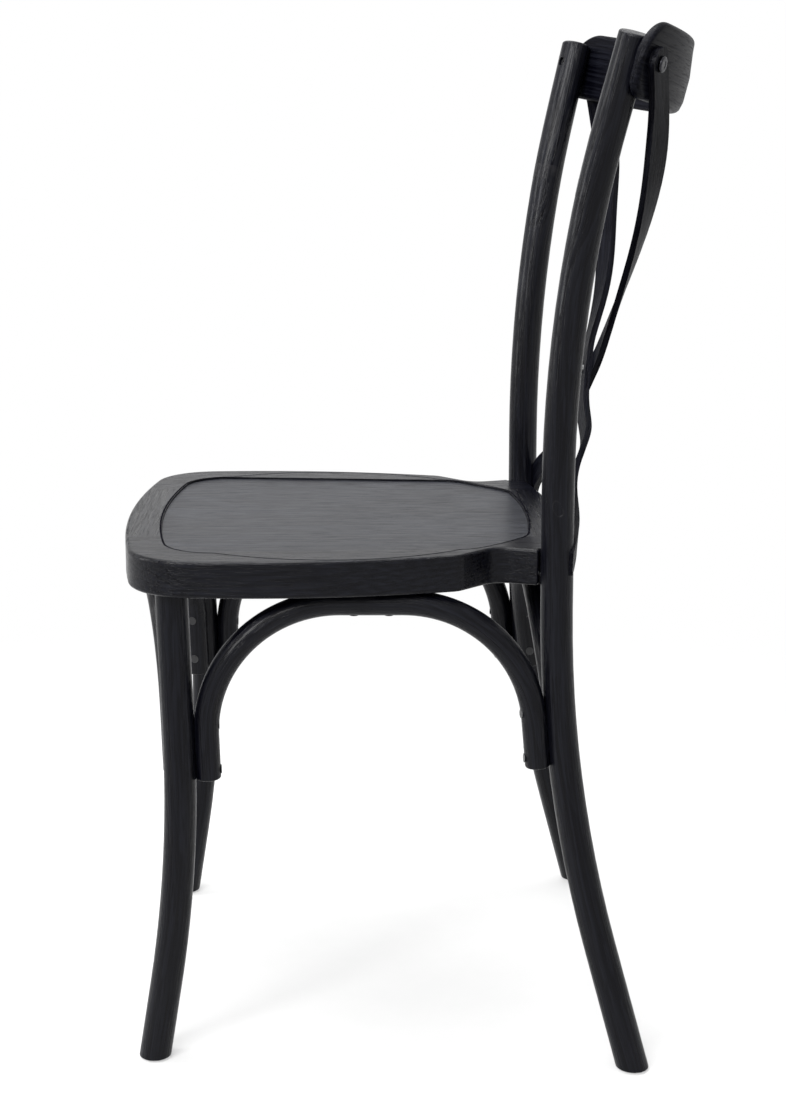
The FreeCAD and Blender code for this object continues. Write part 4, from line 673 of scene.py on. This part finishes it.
def ring_faces(rows, columns):
    """Quads round a closed bead: the last ring joins the first."""
    row, column = np.meshgrid(np.arange(rows), np.arange(columns), indexing="ij")
    below, after = (row + 1) % rows, (column + 1) % columns
    return np.stack((row * columns + column, below * columns + column,
                     below * columns + after, row * columns + after), -1).reshape(-1, 4).tolist()


def painted_shadow_seam_material(name):
    """A painted shadow for the seam: near-black and matt, no gloss, with lighter patches a few millimetres
    wide.
    """
    material, tree = new_material(name)
    place = add(tree, "TexCoord")["Object"]
    seam_shade_mottle = add(tree, "TexNoise", {"Vector": place, "Scale": 1 / SEAM_SHADE_MOTTLE, "Detail": 3.0})["Fac"]
    seam_shade_mottled = add(tree, "MapRange", (seam_shade_mottle, 0.4, 0.8))[0]
    # Near-black painted shadow in the seam, mottled with lighter patches.
    colour = add(tree, "Mix", {"Factor": seam_shade_mottled, "A": paint("#08080b"), "B": paint("#24242a")},
                 data_type="RGBA")["Result"]
    rough = add(tree, "MapRange", (seam_shade_mottle, 0.2, 0.8, 0.8, 0.95))[0]
    bump = add(tree, "Bump", {"Height": seam_shade_mottle, "Strength": 0.2, "Distance": 0.1 * MM})[0]
    shader = add(tree, "BsdfPrincipled", {
        "Base Color": colour, "Roughness": rough, "Normal": bump, "Specular IOR Level": 0.0})
    add(tree, "OutputMaterial", shader)
    return material


seam_points = seam_surface()
seam = new_piece("seat_panel_painted_shadow_seam", seam_points, ring_faces(*seam_points.shape[:2]))
seam.data.materials.append(painted_shadow_seam_material("painted_shadow_seam_matt"))
print("seam of", seam_points.shape[1], "points, reach", seam_points[..., 0].max().round(1), "mm")

# %% [markdown]
# Under each foot is a glide of black polyethylene. Moulded plastic shows a fine even pebble from the
# mould, and the face that slides on the floor is scuffed paler. The real pebble is a few tenths of a
# millimetre wide, too fine for the render, so it is drawn about a millimetre wide.

# %% Moulded glides
MOULD_PEBBLE, SCUFF = 1.11 * MM, 6.25 * MM
POLYETHYLENE_IOR = 1.51


def moulded_plastic(name):
    """Black polyethylene with a pebbled skin and scuffs."""
    material, tree = new_material(name)
    place = add(tree, "TexCoord")["Object"]
    pebble = add(tree, "TexNoise", {"Vector": place, "Scale": 1 / MOULD_PEBBLE, "Detail": 2.0})["Fac"]
    scuffs = add(tree, "TexNoise", {"Vector": place, "Scale": 1 / SCUFF, "Detail": 4.0})["Fac"]
    scuffed = add(tree, "MapRange", (scuffs, 0.5, 0.75))[0]
    colour = add(tree, "Mix", {"Factor": scuffed, "A": paint("#151515"), "B": paint("#3b3b3a")},
                 data_type="RGBA")["Result"]
    rough = add(tree, "MapRange", (scuffs, *NOISE_SPAN, 0.45, 0.65))[0]
    bump = add(tree, "Bump", {"Height": pebble, "Strength": 0.3, "Distance": 0.1 * MM})[0]
    shader = add(tree, "BsdfPrincipled", {
        "Base Color": colour, "Roughness": rough, "Normal": bump, "IOR": POLYETHYLENE_IOR})
    add(tree, "OutputMaterial", shader)
    return material


glide_plastic = moulded_plastic("black_polyethylene_moulded")
dress(("foot_glides",), glide_plastic)
print("glides:", glide_plastic.name)

# %% [markdown]
# The photograph's ground is plain white. A pale floor keeps the soft shadow at the feet. It is a round
# sheet whose colour fades into the white behind it, so that no edge or horizon shows.

# %% Floor
FLOOR_REACH = 2.6
FADE_FROM, FADE_TO = 0.35, 1.3
FLOOR_CLEAR = 0.5
FLOOR_MOTTLE = 33.3 * MM


def floor_sheet(reach, rings=12, turns=96):
    """A flat disc: rings of points, each ring at a share of the reach, all at height zero."""
    angle = np.linspace(0, 2 * np.pi, turns, endpoint=False)
    radius = np.linspace(0, 1, rings + 1)[1:, None] * reach
    ring_points = np.stack((radius * np.cos(angle), radius * np.sin(angle), 0 * radius * angle), -1)
    points = np.vstack(((0, 0, 0), ring_points.reshape(-1, 3)))
    here = np.arange(turns)
    there = (here + 1) % turns
    faces = np.column_stack((0 * here, 1 + here, 1 + there)).tolist()
    for ring in range(rings - 1):
        inner, outer = 1 + ring * turns, 1 + (ring + 1) * turns
        faces += np.column_stack((inner + here, outer + here, outer + there, inner + there)).tolist()
    mesh = bpy.data.meshes.new("studio_floor")
    mesh.from_pydata(points.tolist(), [], faces)
    return bpy.data.objects.new("studio_floor", mesh)


def floor_paint():
    """White painted boards near the chair, fading to nothing further out."""
    material, tree = new_material("white_studio_floor")
    place = add(tree, "TexCoord")["Object"]
    far = add(tree, "VectorMath", (place,), operation="LENGTH")["Value"]
    mottle = add(tree, "TexNoise", {"Vector": place, "Scale": 1 / FLOOR_MOTTLE})["Fac"]
    colour = add(tree, "Mix", {"Factor": mottle, "A": paint("#f7f7f7"), "B": paint("#fbfbfb")},
                 data_type="RGBA")["Result"]
    painted = add(tree, "BsdfDiffuse", {"Color": colour})[0]
    clear = add(tree, "BsdfTransparent")[0]
    share = add(tree, "MapRange", (far, FADE_FROM, FADE_TO, FLOOR_CLEAR), interpolation_type="SMOOTHSTEP")[0]
    add(tree, "OutputMaterial", add(tree, "MixShader", (share, painted, clear)))
    return material


floor = floor_sheet(FLOOR_REACH)
bpy.context.scene.collection.objects.link(floor)
floor.data.materials.append(floor_paint())
print("floor reach:", FLOOR_REACH, "m")

# %% [markdown]
# The light is a plain studio's: a wide soft box overhead, one high above the camera, a tall narrow one at
# the camera's side and a weaker one in front of the chair. Large lamps give the long soft lines of light
# that a satin rod shows. The world is white where the camera or a reflection looks at it, and a moderate
# grey where it lights the chair.

# %% Light
WORLD_LIGHT = 0.3
# Name, place and target in metres, width and height in metres, and power in watts.
LAMPS = (
    ("soft_box_above", (-0.3, -0.3, 2.5), (0, 0, 0.4), 1.8, 1.8, 68),
    ("soft_box_over_camera", (2.0, -0.7, 2.2), (0, 0, 0.7), 1.3, 1.3, 50),
    ("soft_box_camera_side", (1.9, -1.7, 1.7), (0, 0, 0.5), 0.5, 1.8, 34),
    ("soft_box_front", (0.0, -2.4, 1.2), (0, 0, 0.5), 0.6, 1.8, 26),
)


def soft_box(name, place, target, width, height, power):
    """A rectangular area lamp at a place, turned to a target."""
    lamp = bpy.data.lights.new(name, "AREA")
    lamp.shape = "RECTANGLE"
    lamp.size, lamp.size_y, lamp.energy = width, height, power
    box = bpy.data.objects.new(name, lamp)
    box.rotation_euler = (Vector(target) - Vector(place)).to_track_quat("-Z", "Y").to_euler()
    box.location = place
    bpy.context.scene.collection.objects.link(box)


def studio_world():
    """White for what looks at it, grey for what it lights."""
    world = bpy.data.worlds.new("white_studio")
    world.use_nodes = True
    tree = world.node_tree
    tree.nodes.clear()
    ray = add(tree, "LightPath")
    reflected = add(tree, "Math", (ray["Is Glossy Ray"], ray["Is Transmission Ray"]), operation="MAXIMUM")[0]
    seen = add(tree, "Math", (ray["Is Camera Ray"], reflected), operation="MAXIMUM")[0]
    level = add(tree, "MapRange", (seen, 0.0, 1.0, WORLD_LIGHT, 1.0))[0]
    add(tree, "OutputWorld", add(tree, "Background", {"Color": paint("#ffffff"), "Strength": level}))
    return world


for lamp in LAMPS:
    soft_box(*lamp)
bpy.context.scene.world = studio_world()
bpy.context.scene.view_settings.view_transform = "Standard"
print("lamps:", len(LAMPS))

# %% [markdown]
# The photograph was taken from the chair's left side, a little above the seat and about 1.8 m away. The
# camera's place and turn were solved from the outlines of the legs and the seat.

# %% Camera
CAMERA_PLACE = (1.7579, -0.0609, 0.8380)
CAMERA_RIGHT = (0.02900749, 0.99955396, 0.00710217)
CAMERA_UP = (-0.23129835, -0.00020029, 0.97288285)
CAMERA_BACK = (0.97245033, -0.02986361, 0.23118938)
FOCAL_LENGTH, SENSOR_WIDTH = 63.07, 36
lens = bpy.data.cameras.new("studio_camera")
lens.lens = FOCAL_LENGTH
lens.sensor_width = SENSOR_WIDTH
lens.sensor_fit = "AUTO"
camera = bpy.data.objects.new("studio_camera", lens)
turn = np.column_stack((CAMERA_RIGHT, CAMERA_UP, CAMERA_BACK))
camera.matrix_world = Matrix.Translation(CAMERA_PLACE) @ Matrix(turn.tolist()).to_4x4()
bpy.context.scene.collection.objects.link(camera)
bpy.context.scene.camera = camera
print("camera", round(float(np.linalg.norm(CAMERA_PLACE)), 2), "m from the floor below the chair's middle")
